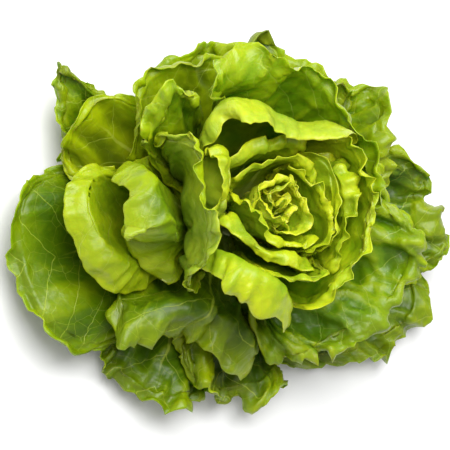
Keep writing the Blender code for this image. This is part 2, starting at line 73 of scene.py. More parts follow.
# The way in which a blade bulges: outward, and 40 degrees below level.
BULGE_WAY = (0.77, -0.64)

# A blade thins to its rim over this reach. The rib's half-width is a share of half the leaf's width.
BLADE_THICKNESS = 0.8
RIM_THICKNESS = 0.35
RIM_REACH = 6.0
RIB_THICKNESS = 1.6
RIB_HALF_WIDTH = 0.17
# The hem is rolled in small steps, and is nowhere shorter than this share of its length.
HEM_STEPS = 24
SHORTEST_HEM = 0.12

# Gaps kept between leaves on the coarse and the fine grid, the shortfall that is left as it is, and
# the rounds of pushing, which look at a few places in each cell of the coarse grid.
CLEARANCE = 1.1
FINE_CLEARANCE = 0.35
CLEAR_ENOUGH = 0.05
CLEAR_ROUNDS = 8
CHECKS_PER_CELL = 4
FLOOR_GAP = 0.2
# Points this close, in metres, are one, and a turned solid has no margin within this distance, in mm.
END_GAP = 1e-7
FAR_FROM_MARGIN = 20.0


class Kind(Enum):
    """Where a leaf grows in the head."""

    HEART = "heart_leaf"
    RING = "ring_leaf"
    WRAPPER = "wrapper_leaf"
    OUTER = "outer_leaf"


class Lattice(Enum):
    """Blade rows, hem rows and columns of the coarse grid, then those of the fine grid."""

    LARGE = ((6, 4, 13), (40, 17, 132))
    FOLDED = ((5, 5, 13), (34, 24, 132))
    SMALL = ((5, 3, 11), (34, 14, 92))
    TINY = ((5, 3, 9), (28, 14, 76))


def smooth(x: np.ndarray) -> np.ndarray:
    """Smooth step from 0 to 1: 3x squared less 2x cubed."""
    x = np.clip(x, 0.0, 1.0)
    return x * x * (3.0 - 2.0 * x)


def unit(vectors: np.ndarray) -> np.ndarray:
    """Vectors divided by their length."""
    return vectors / (np.linalg.norm(vectors, axis=-1, keepdims=True) + 1e-12)


def polar(azimuth: np.ndarray, radius: np.ndarray, height: np.ndarray) -> np.ndarray:
    """Points (radius cos azimuth, radius sin azimuth, height)."""
    angle = np.radians(azimuth)
    return np.stack(np.broadcast_arrays(radius * np.cos(angle), radius * np.sin(angle), height), -1)


def corner_value(i: np.ndarray, j: np.ndarray, seed: float) -> np.ndarray:
    """A fixed draw between -1 and 1 for each corner of a grid: the fraction of a large sine."""
    value = np.sin(i * 127.1 + j * 311.7 + seed * 74.7) * 43758.5453
    return (value - np.floor(value)) * 2.0 - 1.0


def noise(x: np.ndarray, y: np.ndarray, seed: float) -> np.ndarray:
    """Smooth bumps at a spacing of 1: draws at the corners of a unit grid, blended by smooth steps.

    Args:
        x, y: places.
        seed: which set of draws.

    Returns:
        A value between -1 and 1 for each place.
    """
    x, y = np.broadcast_arrays(np.asarray(x, float), np.asarray(y, float))
    i, j = np.floor(x), np.floor(y)
    u, v = smooth(x - i), smooth(y - j)
    near = corner_value(i, j, seed) * (1 - u) + corner_value(i + 1, j, seed) * u
    far = corner_value(i, j + 1, seed) * (1 - u) + corner_value(i + 1, j + 1, seed) * u
    return near * (1 - v) + far * v


def cushions(x: np.ndarray, y: np.ndarray, seed: float) -> np.ndarray:
    """Rounded cushions with sharp seams between them, at a spacing of 1.

    Each cell of a unit grid has one point at a drawn place. The value is a smooth step of how much
    further the second nearest point is than the nearest.

    Args:
        x, y: places.
        seed: which set of draws.

    Returns:
        A value for each place, from 0 on a seam to 1 in a middle.
    """
    stray, rise = 0.42, 0.75
    x, y = np.broadcast_arrays(np.asarray(x, float), np.asarray(y, float))
    i, j = np.floor(x), np.floor(y)
    apart = []
    for a in (-1, 0, 1):
        for b in (-1, 0, 1):
            px = i + a + 0.5 + stray * corner_value(i + a, j + b, seed)
            py = j + b + 0.5 + stray * corner_value(i + a, j + b, seed + 31)
            apart.append(np.hypot(x - px, y - py))
    nearest = np.sort(np.stack(apart), axis=0)
    return smooth((nearest[1] - nearest[0]) / rise)


def spline_weights(knots: np.ndarray, places: np.ndarray) -> np.ndarray:
    """Weights of a natural cubic spline.

    Args:
        knots: rising places of the known values.
        places: places where values are wanted.

    Returns:
        A matrix that turns the values at the knots into the spline's values at the places.
    """
    count = len(knots)
    step = np.diff(knots)
    left = np.eye(count)
    right = np.zeros((count, count))
    for k in range(1, count - 1):
        left[k, k - 1:k + 2] = step[k - 1], 2 * (step[k - 1] + step[k]), step[k]
        right[k, k - 1:k + 2] = 6 / step[k - 1], -6 / step[k - 1] - 6 / step[k], 6 / step[k]
    bend = np.linalg.solve(left, right)
    k = np.clip(np.searchsorted(knots, places) - 1, 0, count - 2)
    b = (places - knots[k]) / step[k]
    a = 1 - b
    value = np.eye(count)
    straight = a[:, None] * value[k] + b[:, None] * value[k + 1]
    curved = (a ** 3 - a)[:, None] * bend[k] + (b ** 3 - b)[:, None] * bend[k + 1]
    return straight + curved * (step[k] ** 2)[:, None] / 6


def line_weights(count: int, times: int) -> np.ndarray:
    """Weights that put straight-line values between each pair of neighbours."""
    places = np.linspace(0, count - 1, (count - 1) * times + 1)
    return np.maximum(0.0, 1.0 - np.abs(places[:, None] - np.arange(count)[None, :]))


def between(rows: np.ndarray, points: np.ndarray, columns: np.ndarray) -> np.ndarray:
    """A grid of points taken at new rows and columns, by the weights of each."""
    return np.moveaxis(rows @ np.moveaxis(points, -1, 0) @ columns.T, 0, -1)


def normals(points: np.ndarray) -> np.ndarray:
    """Directions out of the outer face of a grid: across direction crossed with along direction."""
    return unit(np.cross(np.gradient(points, axis=1), np.gradient(points, axis=0)))


def away_from(points: np.ndarray, height: float) -> tuple[np.ndarray, np.ndarray]:
    """Where points lie from a point on the axis: the offset divided by its length, and that length.

    Args:
        points: the points.
        height: height of the point on the axis.

    Returns:
        The directions and the distances.
    """
    offset = points - np.array([0.0, 0.0, height])
    distance = np.linalg.norm(offset, axis=-1)
    return offset / np.maximum(distance, 1e-9)[..., None], distance


def soften(values: np.ndarray) -> np.ndarray:
    """Spread values: 0.4 of a value and 0.15 of each of its four neighbours, never below 0.6 of it.

    Args:
        values: rows by columns.

    Returns:
        The softened values.
    """
    padded = np.pad(values, 1, mode="edge")
    around = padded[2:, 1:-1] + padded[:-2, 1:-1] + padded[1:-1, 2:] + padded[1:-1, :-2]
    return np.maximum(0.4 * values + 0.15 * around, 0.6 * values)


def widen(values: np.ndarray, reach: int) -> np.ndarray:
    """The greatest value near each place.

    Args:
        values: rows by columns.
        reach: how many cells along and across count as near.

    Returns:
        The greatest values.
    """
    rows, columns = values.shape
    padded = np.pad(values, reach)
    most = np.zeros(values.shape)
    for i in range(2 * reach + 1):
        for j in range(2 * reach + 1):
            most = np.maximum(most, padded[i:i + rows, j:j + columns])
    return most


@dataclass(frozen=True)
class Surface:
    """One closed surface, ready for a mesh.

    vertices: points in metres.
    quads: four vertex numbers for each face, in order round its outside.
    uv: flat coordinates of each vertex, in hundreds of millimetres.
    margin: distance of each vertex from the leaf's margin, in millimetres.
    under: 1 on the outer face of a leaf and 0 on its inner face.
    sunk: how far each vertex lies outward of the plain blade, in millimetres; the material turns it into
    painted light and shade.
    """

    vertices: np.ndarray
    quads: np.ndarray
    uv: np.ndarray
    margin: np.ndarray
    under: np.ndarray
    sunk: np.ndarray


def turned(profile: np.ndarray, sides: int, uneven: float = 0.0) -> Surface:
    """A closed solid turned from a profile about the axis, with ridges of noise along it.

    The ridges are a spacing of degrees apart, blend over one turn, and fade towards the axis.

    Args:
        profile: (radius, height) points from the bottom to the top, the first and last on the axis.
        sides: points round the axis.
        uneven: size of the ridges, in millimetres.

    Returns:
        The surface, whose end rings have all their vertices in one point, for close_ends to join.
    """
    ridge_spacing, fade_radius = 15.0, 8.0
    azimuth = np.arange(sides) * 360.0 / sides
    again = noise((azimuth - 360) / ridge_spacing, 0, 3)
    ridges = uneven * (noise(azimuth / ridge_spacing, 0, 3) - again * azimuth / 360)
    radius = profile[:, 0][:, None]
    radius = radius + ridges[None, :] * np.minimum(radius / fade_radius, 1)
    rings = polar(azimuth[None, :], np.maximum(radius, 0), profile[:, 1][:, None])
    index = np.arange(len(profile) * sides).reshape(len(profile), sides)
    turn = np.roll(index, -1, axis=1)
    quads = np.stack([index[:-1], turn[:-1], turn[1:], index[1:]], -1).reshape(-1, 4)
    height = np.broadcast_to(profile[:, 1][:, None], index.shape)
    uv = np.stack([np.broadcast_to(azimuth / 360, index.shape), height / UV_MM], -1).reshape(-1, 2)
    plain = np.zeros(index.size)
    return Surface(rings.reshape(-1, 3) * MM, quads, uv, plain + FAR_FROM_MARGIN, plain, plain)


def placed(name: str, data: bpy.types.ID) -> bpy.types.Object:
    """Put a new object in the scene.

    Args:
        name: name of the object.
        data: the mesh, camera or light that it holds.

    Returns:
        The object, at the origin.
    """
    made = bpy.data.objects.new(name, data)
    bpy.context.scene.collection.objects.link(made)
    return made


def write_mesh(name: str, parts: list[Surface], tone: float = 0.0) -> bpy.types.Object:
    """One object from one or more closed surfaces.

    Args:
        name: name of the piece.
        parts: the surfaces, each kept as it is.
        tone: how much lighter and yellower (up to 1) or darker (down to -1) the leaf is painted, as painted
            light and shade.

    Returns:
        The new object, smooth shaded, with a UV map "leaf" and the attributes "margin", "under",
        "sunk" and "tone".
    """
    offsets = np.cumsum([0] + [len(part.vertices) for part in parts[:-1]])
    vertices = np.concatenate([part.vertices for part in parts])
    quads = [part.quads + offset for part, offset in zip(parts, offsets)]
    quads = np.concatenate(quads).astype(np.int32)
    uv = np.concatenate([part.uv for part in parts])
    mesh = bpy.data.meshes.new(name)
    mesh.vertices.add(len(vertices))
    mesh.vertices.foreach_set("co", vertices.astype(np.float32).ravel())
    mesh.loops.add(quads.size)
    mesh.loops.foreach_set("vertex_index", quads.ravel())
    mesh.polygons.add(len(quads))
    mesh.polygons.foreach_set("loop_start", np.arange(0, quads.size, 4, dtype=np.int32))
    mesh.update(calc_edges=True)
    layer = mesh.uv_layers.new(name="leaf")
    layer.data.foreach_set("uv", uv[quads.ravel()].astype(np.float32).ravel())
    values = {kind: np.concatenate([getattr(part, kind) for part in parts])
              for kind in ("margin", "under", "sunk")}
    values["tone"] = np.full(len(vertices), tone)
    for kind, value in values.items():
        mesh.attributes.new(kind, "FLOAT", "POINT").data.foreach_set("value", value.astype(np.float32))
    mesh.validate()
    mesh.shade_smooth()
    return placed(name, mesh)


def close_ends(piece: bpy.types.Object) -> None:
    """Join the vertices of each ring that has shrunk to a point.

    Args:
        piece: the object whose mesh has such rings.
    """
    model = bmesh.new()
    model.from_mesh(piece.data)
    bmesh.ops.remove_doubles(model, verts=model.verts, dist=END_GAP)
    model.to_mesh(piece.data)
    model.free()


def linear(colour: str) -> tuple[float, float, float, float]:
    """Linear RGBA of an sRGB hex colour such as "#7DA01E"."""
    values = [int(colour[k:k + 2], 16) / 255 for k in (1, 3, 5)]
    return (*[v / 12.92 if v <= 0.04045 else ((v + 0.055) / 1.055) ** 2.4 for v in values], 1.0)


def fill(node: bpy.types.Node, inputs: dict) -> None:
    """Set the inputs of a node.

    Args:
        node: the node.
        inputs: for each input, by its name or number, a value or the socket to link to it.
    """
    for key, value in inputs.items():
        if isinstance(value, bpy.types.NodeSocket):
            node.id_data.links.new(value, node.inputs[key])
        else:
            node.inputs[key].default_value = value


def add_node(tree: bpy.types.NodeTree, kind: str, inputs: dict | None = None, output: int | str = 0,
             **settings: object) -> bpy.types.NodeSocket:
    """Add one node to a tree.

    Args:
        tree: the material's node tree.
        kind: the type of node, as it follows "ShaderNode".
        inputs: what fill sets.
        output: name or number of the output that is wanted.
        settings: properties of the node.

    Returns:
        The output.
    """
    made = tree.nodes.new(f"ShaderNode{kind}")
    for key, value in settings.items():
        setattr(made, key, value)
    fill(made, inputs or {})
    return made.outputs[output]


def new_material(name: str) -> tuple[bpy.types.Material, partial, bpy.types.Node]:
    """Start a material.

    Args:
        name: name of the real material.

    Returns:
        The material, the function that adds a node to its tree, and its shader.
    """
    made = bpy.data.materials.new(name)
    made.use_nodes = True
    return made, partial(add_node, made.node_tree), made.node_tree.nodes["Principled BSDF"]


@dataclass(frozen=True)
class Stem:
    """The short stem, cut flat: a cylinder up to its shoulder and a cone above it.

    radius, shoulder: radius of the cylinder, and the height where it ends.
    top_radius, top: radius and height of the cone's end.
    sides, rows: points round the axis and along it.
    ridge: depth of the faint ridges along it, in mm.
    edge: how much the cut takes off the radius, in mm.
    """

    radius: float = 17.0
    shoulder: float = 20.0
    top_radius: float = 8.0
    top: float = 52.0
    sides: int = 96
    rows: int = 40
    ridge: float = 0.5
    edge: float = 0.6

    def radius_at(self, height: np.ndarray) -> np.ndarray:
        """Radius of the stem at a height, by a straight line from the shoulder to the top."""
        return np.interp(height, [self.shoulder, self.top], [self.radius, self.top_radius])

    def build(self) -> None:
        """Turn the stem, dress it and let it stand for its node."""
        height = np.linspace(0, self.top, self.rows)
        radius = self.radius_at(height)
        radius[0] -= self.edge
        radius -= self.ridge
        profile = np.concatenate([[[0.0, 0.0]], np.stack([radius, height], -1), [[0.0, self.top]]])
        piece = write_mesh("cut_stem", [turned(profile, self.sides, self.ridge)])
        close_ends(piece)
        piece.data.materials.append(self.material())
        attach(piece, "root")
        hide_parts("stem")
        log.info("stem %.0f mm tall", self.top)

    def material(self) -> bpy.types.Material:
        """Cut stem tissue: greenish white, with a little brown in patches about 7 mm wide.

        Its moisture gives it a soft gloss, and the cut leaves it finely rough.

        Returns:
            The new material.
        """
        made, node, shader = new_material("cut_stem_tissue")
        place = node("TexCoord", output="Object")
        patches = node("TexNoise", {"Vector": place, "Scale": 140.0, "Detail": 5.0})
        pale, brown = linear("#DDE3B4"), linear("#B9C58A")
        fill(shader, {
            "Base Color": node("Mix", {0: patches, 6: pale, 7: brown}, output=2, data_type="RGBA"),
            "Normal": node("Bump", {"Strength": 0.4, "Distance": 0.0004, "Height": patches}),
            "Roughness": 0.35,
            "IOR": 1.4,
        })
        return made


STEM = Stem()


@dataclass
class Envelope:
    """How far the pieces placed so far reach in each direction from a point on the axis.

    height: height of that point.
    cell: width of a direction cell, in radians.
    """

    height: float
    cell: float = math.radians(1.25)

    def __post_init__(self) -> None:
        """Start empty, with rows of cells from straight down to straight up and a spare one at each end."""
        self.down = int(math.pi / self.cell) + 3
        self.round = int(round(2 * math.pi / self.cell))
        self.reach = np.zeros((self.down, self.round))

    def cells(self, points: np.ndarray) -> tuple[np.ndarray, np.ndarray, np.ndarray]:
        """Find the direction cell of each point, by its angle from straight down and its azimuth.

        Args:
            points: the points.

        Returns:
            The rows, the columns and the distances of the points.
        """
        direction, distance = away_from(points, self.height)
        row = (np.arccos(np.clip(-direction[..., 2], -1, 1)) / self.cell).astype(int) + 1
        azimuth = np.arctan2(direction[..., 1], direction[..., 0])
        column = (azimuth / self.cell + self.round).astype(int) % self.round
        return row, column, distance

    def add(self, points: np.ndarray) -> None:
        """Note how far these points reach."""
        row, column, distance = self.cells(points)
        np.maximum.at(self.reach, (row.ravel(), column.ravel()), distance.ravel())

    def shortfall(self, points: np.ndarray, gap: float) -> np.ndarray:
        """How much further out each point must go to lie beyond everything in and next to its cell.

        Args:
            points: the points.
            gap: how far beyond, in mm.

        Returns:
            The missing distances, 0 where there is nothing to clear.
        """
        row, column, distance = self.cells(points)
        most = np.zeros(distance.shape)
        for i in (-1, 0, 1):
            for j in (-1, 0, 1):
                cell = np.clip(row + i, 0, self.down - 1), (column + j) % self.round
                most = np.maximum(most, self.reach[cell])
        return np.where(most > 0, np.maximum(most + gap - distance, 0), 0)


@dataclass(frozen=True)
class Crumple:
    """How a kind of leaf is crumpled, beyond the frame's own surface, in millimetres.

    pucker, dent, fold: heights of the small cushions, of the soft dents and of the folds along the leaf,
        each with the width that it repeats at.
    ruffle, tooth, lobe: sizes of the margin's waves, of its teeth and of its lobes, each with the length
        along the margin that it repeats at.
    """

    pucker: float
    pucker_width: float
    dent: float
    dent_width: float
    fold: float
    ruffle: float
    ruffle_length: float
    tooth: float
    lobe: float
    fold_width: float = 12.0
    tooth_length: float = 3.8
    lobe_length: float = 13.0


CRUMPLES = {
    Kind.HEART: Crumple(pucker=1.0, pucker_width=6.0, dent=2.4, dent_width=12.0, fold=2.4, fold_width=7.0,
                        ruffle=2.6, ruffle_length=14.0, tooth=0.6, lobe=2.0, lobe_length=9.0),
    Kind.RING: Crumple(pucker=0.9, pucker_width=8.0, dent=2.2, dent_width=18.0, fold=2.4, fold_width=10.0,
                       ruffle=2.6, ruffle_length=20.0, tooth=0.7, lobe=1.6),
    Kind.WRAPPER: Crumple(pucker=1.1, pucker_width=10.0, dent=2.4, dent_width=26.0, fold=3.0, ruffle=2.8,
                          ruffle_length=24.0, tooth=0.8, lobe=2.4),
    Kind.OUTER: Crumple(pucker=1.1, pucker_width=10.0, dent=2.6, dent_width=28.0, fold=4.0, ruffle=3.0,
                        ruffle_length=22.0, tooth=1.1, lobe=3.2),
}


@dataclass(frozen=True)
class Leaf:
    """One leaf: where its crest runs, and how it bulges, waves and rolls.

    root: height on the stem where it grows.
    rim: crest of the leaf, as (azimuth, radius, height), counter-clockwise.
    belly: how far the blade bulges out and down, as a share of its length.
    hem, curl: length of the strip beyond the crest, and the degrees that it rolls back.
    bend: how the hem turns, from a sharp fold at the crest (0.4) to an even roll (0.9).
    waves: how many waves the hem has, their size in degrees, and their phase in turns.
    flutes: how many folds run up the blade, their size in mm, and their phase in turns.
    flaps: places where the hem differs: place across the leaf (-1 to 1), half-width, extra length
        as a share of the hem, extra degrees.
    relief: how folded and puckered the blade is, as a share of what is usual for its kind.
    tone: how much lighter and yellower (up to 1) or darker (down to -1) it is painted, as painted light and
    shade.
    lattice: how closely it is divided.
    root_radius: distance of the root from the axis, or 0 where the stem decides it.
    kind: where it grows.
    """

    name: str
    root: float
    rim: tuple
    belly: float = 0.2
    hem: float = 10.0
    curl: float = 30.0
    bend: float = 0.9
    waves: tuple = (3.0, 30.0, 0.0)
    flutes: tuple = (3.0, 1.5, 0.0)
    flaps: tuple = ()
    lattice: Lattice = Lattice.LARGE
    root_radius: float = 0.0
    kind: Kind = Kind.RING
    relief: float = 1.0
    tone: float = 0.0

    @property
    def kept_from(self) -> float:
        """Height on the axis that the leaf is pushed away from: above the head for spreading leaves."""
        return SPREAD_FROM if self.kind is Kind.OUTER else UPRIGHT_FROM

    def grid(self, fine: bool) -> tuple[np.ndarray, np.ndarray]:
        """Places of the rows and columns, a little closer together near the crest.

        Args:
            fine: whether to take the fine grid and not the coarse one.

        Returns:
            Places along the leaf (0 root, 1 crest, 2 edge) and across it (-1 to 1).
        """
        blade_rows, hem_rows, columns = self.lattice.value[1 if fine else 0]
        blade = np.linspace(0, 1, blade_rows) ** 0.9
        hem = 1 + np.linspace(0, 1, hem_rows)[1:] ** 1.3
        return np.concatenate([blade, hem]), np.linspace(-1, 1, columns)

    def crest_line(self, across: np.ndarray) -> tuple[np.ndarray, np.ndarray, np.ndarray]:
        """Both ends of every ray: a spline from one corner of the root over the crest to the other.

        The spline's knots are spaced by the 0.8th power of the distance between them. A ray points
        along its azimuth from the axis, drawn towards the leaf's middle near the axis.

        Args:
            across: places of the rays across the leaf.

        Returns:
            Root points on the stem, crest points, and each ray's azimuth.
        """
        rim = np.array(self.rim, float)
        azimuth = np.unwrap(rim[:, 0], period=360)
        crest = polar(azimuth, rim[:, 1], rim[:, 2])
        middle = np.interp(0.5, np.linspace(0, 1, len(azimuth)), azimuth)
        radius = self.root_radius or STEM.radius_at(self.root) + ROOT_CLEARANCE
        half_width = ROOT_HALF_WIDTH + ROOT_SHARE * np.linalg.norm(crest[-1] - crest[0])
        turn = np.degrees(half_width / radius)
        points = list(crest)
        for side, end in ((-1, crest[0]), (1, crest[-1])):
            corner = polar(middle + side * turn, radius, self.root)
            # Two knots on the way from the root's corner to the crest's end, which stays low at first.
            way_out = [corner + (end - corner) * share * np.array([1.0, 1.0, 0.6]) for share in (0.12, 0.4)]
            points = way_out + points if side < 0 else points + way_out[::-1]
        points = np.array(points)
        apart = np.linalg.norm(np.diff(points, axis=0), axis=1)
        place = np.concatenate([[0], np.cumsum(apart ** 0.8)])
        line = spline_weights(2 * place / place[-1] - 1, across) @ points
        start = polar(middle + across * turn, radius, self.root)
        away = (np.degrees(np.arctan2(line[:, 1], line[:, 0])) - middle + 180) % 360 - 180
        near_axis = smooth(np.hypot(line[:, 0], line[:, 1]) / FAN_RADIUS)
        return start, line, middle + FAN_SHARE * np.clip(away, -FAN_WIDEST, FAN_WIDEST) * near_axis

    def roll_hem(self, along: np.ndarray, across: np.ndarray, tangent: np.ndarray, outward: np.ndarray,
                 seed: float) -> np.ndarray:
        """Roll the hem: a strip whose angle grows as its length to a power, summed over small steps.

        Args:
            along, across: places of the rows and columns.
            tangent: direction of each ray at the crest.
            outward: direction out of the leaf at the crest.
            seed: which draw of the ragged edge.

        Returns:
            The step from the crest to each place of the hem, and 0 for the blade.
        """
        flaps = [(np.exp(-((across - place) / half_width) ** 2), more_hem, more_curl)
                 for place, half_width, more_hem, more_curl in self.flaps]
        taper = smooth((1 - np.abs(across)) / 0.3)
        longer = sum(more_hem * bump for bump, more_hem, _ in flaps)
        ragged = 1 + longer + 0.25 * noise(across * 6 + 3, 0, seed)
        length = self.hem * np.maximum(taper * ragged, SHORTEST_HEM)
        count, size, phase = self.waves
        waves = size * np.sin(2 * np.pi * (count * across / 2 + phase)) * taper
        curl = self.curl + waves + sum(more_curl * bump for bump, _, more_curl in flaps)
        fine = np.linspace(0, 1, HEM_STEPS + 1)
        angle = np.radians(curl) * fine[:, None] ** self.bend
        middle = 0.5 * (angle[1:] + angle[:-1])
        ahead = np.concatenate([0 * angle[:1], np.cumsum(np.cos(middle), axis=0)]) / HEM_STEPS
        aside = np.concatenate([0 * angle[:1], np.cumsum(np.sin(middle), axis=0)]) / HEM_STEPS
        rows = np.clip(along - 1, 0, 1)
        weights = np.maximum(0, 1 - np.abs(rows[:, None] * HEM_STEPS - np.arange(HEM_STEPS + 1)[None, :]))
        return ((weights @ ahead * length)[..., None] * tangent
                + (weights @ aside * length)[..., None] * outward)

    def blade(self, along: np.ndarray, across: np.ndarray, seed: float) -> np.ndarray:
        """Middle surface before it is kept clear of the other leaves.

        Each ray is a quadratic curve from root to crest, bulged out and down, then the hem, and the
        whole is moved along its normals by sine folds and smooth dents.

        Args:
            along, across: places of the rows and columns.
            seed: which draw of the dents.

        Returns:
            The points, rows by columns.
        """
        start, line, azimuth = self.crest_line(across)
        chord = line - start
        length = np.linalg.norm(chord, axis=1, keepdims=True)
        outward = polar(azimuth, *BULGE_WAY)
        ahead = chord / np.maximum(length, 1e-6)
        bulge = unit(outward - (outward * ahead).sum(-1, keepdims=True) * ahead)
        inside = smooth((1 - np.abs(across)) / 0.25)
        control = start + 0.5 * chord + self.belly * length * bulge * (0.3 + 0.7 * inside[:, None])
        share = np.clip(along, 0, 1)[:, None, None]
        points = (1 - share) ** 2 * start + 2 * share * (1 - share) * control + share ** 2 * line
        tangent = unit(line - control)
        outer = unit(np.cross(np.gradient(line, across, axis=0), tangent))
        points = points + self.roll_hem(along, across, tangent, outer, seed)
        count, size, phase = self.flutes
        rise = smooth(share[..., 0] * 1.05) ** 1.3
        folds = np.sin(2 * np.pi * (count * across / 2 + phase)) * inside
        dents = 0.9 * noise(share[..., 0] * across * 3.2 + 11, along[:, None] * 2.6 + 5, seed + 50)
        return points + normals(points) * (size * rise * (folds + dents))[..., None]

    def rib(self, along: np.ndarray, across: np.ndarray) -> np.ndarray:
        """Extra thickness of the midrib on the outer face: thick at the root and gone at the crest."""
        rise = np.clip(1 - along, 0, 1)[:, None] ** 0.7
        return RIB_THICKNESS * rise * np.clip(1 - np.abs(across)[None, :] / RIB_HALF_WIDTH, 0, 1)

    def coarse_faces(self, points: np.ndarray) -> tuple[np.ndarray, np.ndarray]:
        """Both faces of the coarse grid: half the blade's thickness to each side, and the rib outward.

        Args:
            points: middle surface.

        Returns:
            The inner and the outer face.
        """
        half = normals(points) * BLADE_THICKNESS / 2
        rib = unit(half) * self.rib(*self.grid(False))[..., None]
        return points - half, points + half + rib

    def coarse_push(self, envelope: Envelope, seed: float) -> tuple[np.ndarray, np.ndarray]:
        """Push the coarse grid straight out until it clears every piece placed before it.

        Each round adds the greatest shortfall near each point, softened in all but the last rounds,
        and takes the hem at least as far as the crest.

        Args:
            envelope: reach of the pieces placed before.
            seed: which draw of the leaf's dents.

        Returns:
            The push of each coarse grid point in millimetres, and the points after it.
        """
        along, across = self.grid(False)
        points = self.blade(along, across, seed)
        direction, distance = away_from(points, self.kept_from)
        push = np.zeros(distance.shape)
        crest_row = self.lattice.value[0][0] - 1
        row_weights = line_weights(len(along), CHECKS_PER_CELL)
        column_weights = line_weights(len(across), CHECKS_PER_CELL)
        for step in range(CLEAR_ROUNDS):
            now = points + push[..., None] * direction
            inner_face = now - normals(now) * BLADE_THICKNESS / 2
            short = envelope.shortfall(between(row_weights, inner_face, column_weights), CLEARANCE)
            if short.max() < CLEAR_ENOUGH:
                break
            more = widen(short, CHECKS_PER_CELL - 1)[::CHECKS_PER_CELL, ::CHECKS_PER_CELL]
            if step < CLEAR_ROUNDS - 3:
                more = soften(soften(more))
            push = push + more
            push[crest_row + 1:] = np.maximum(push[crest_row + 1:], push[crest_row])
        return push, points + push[..., None] * direction


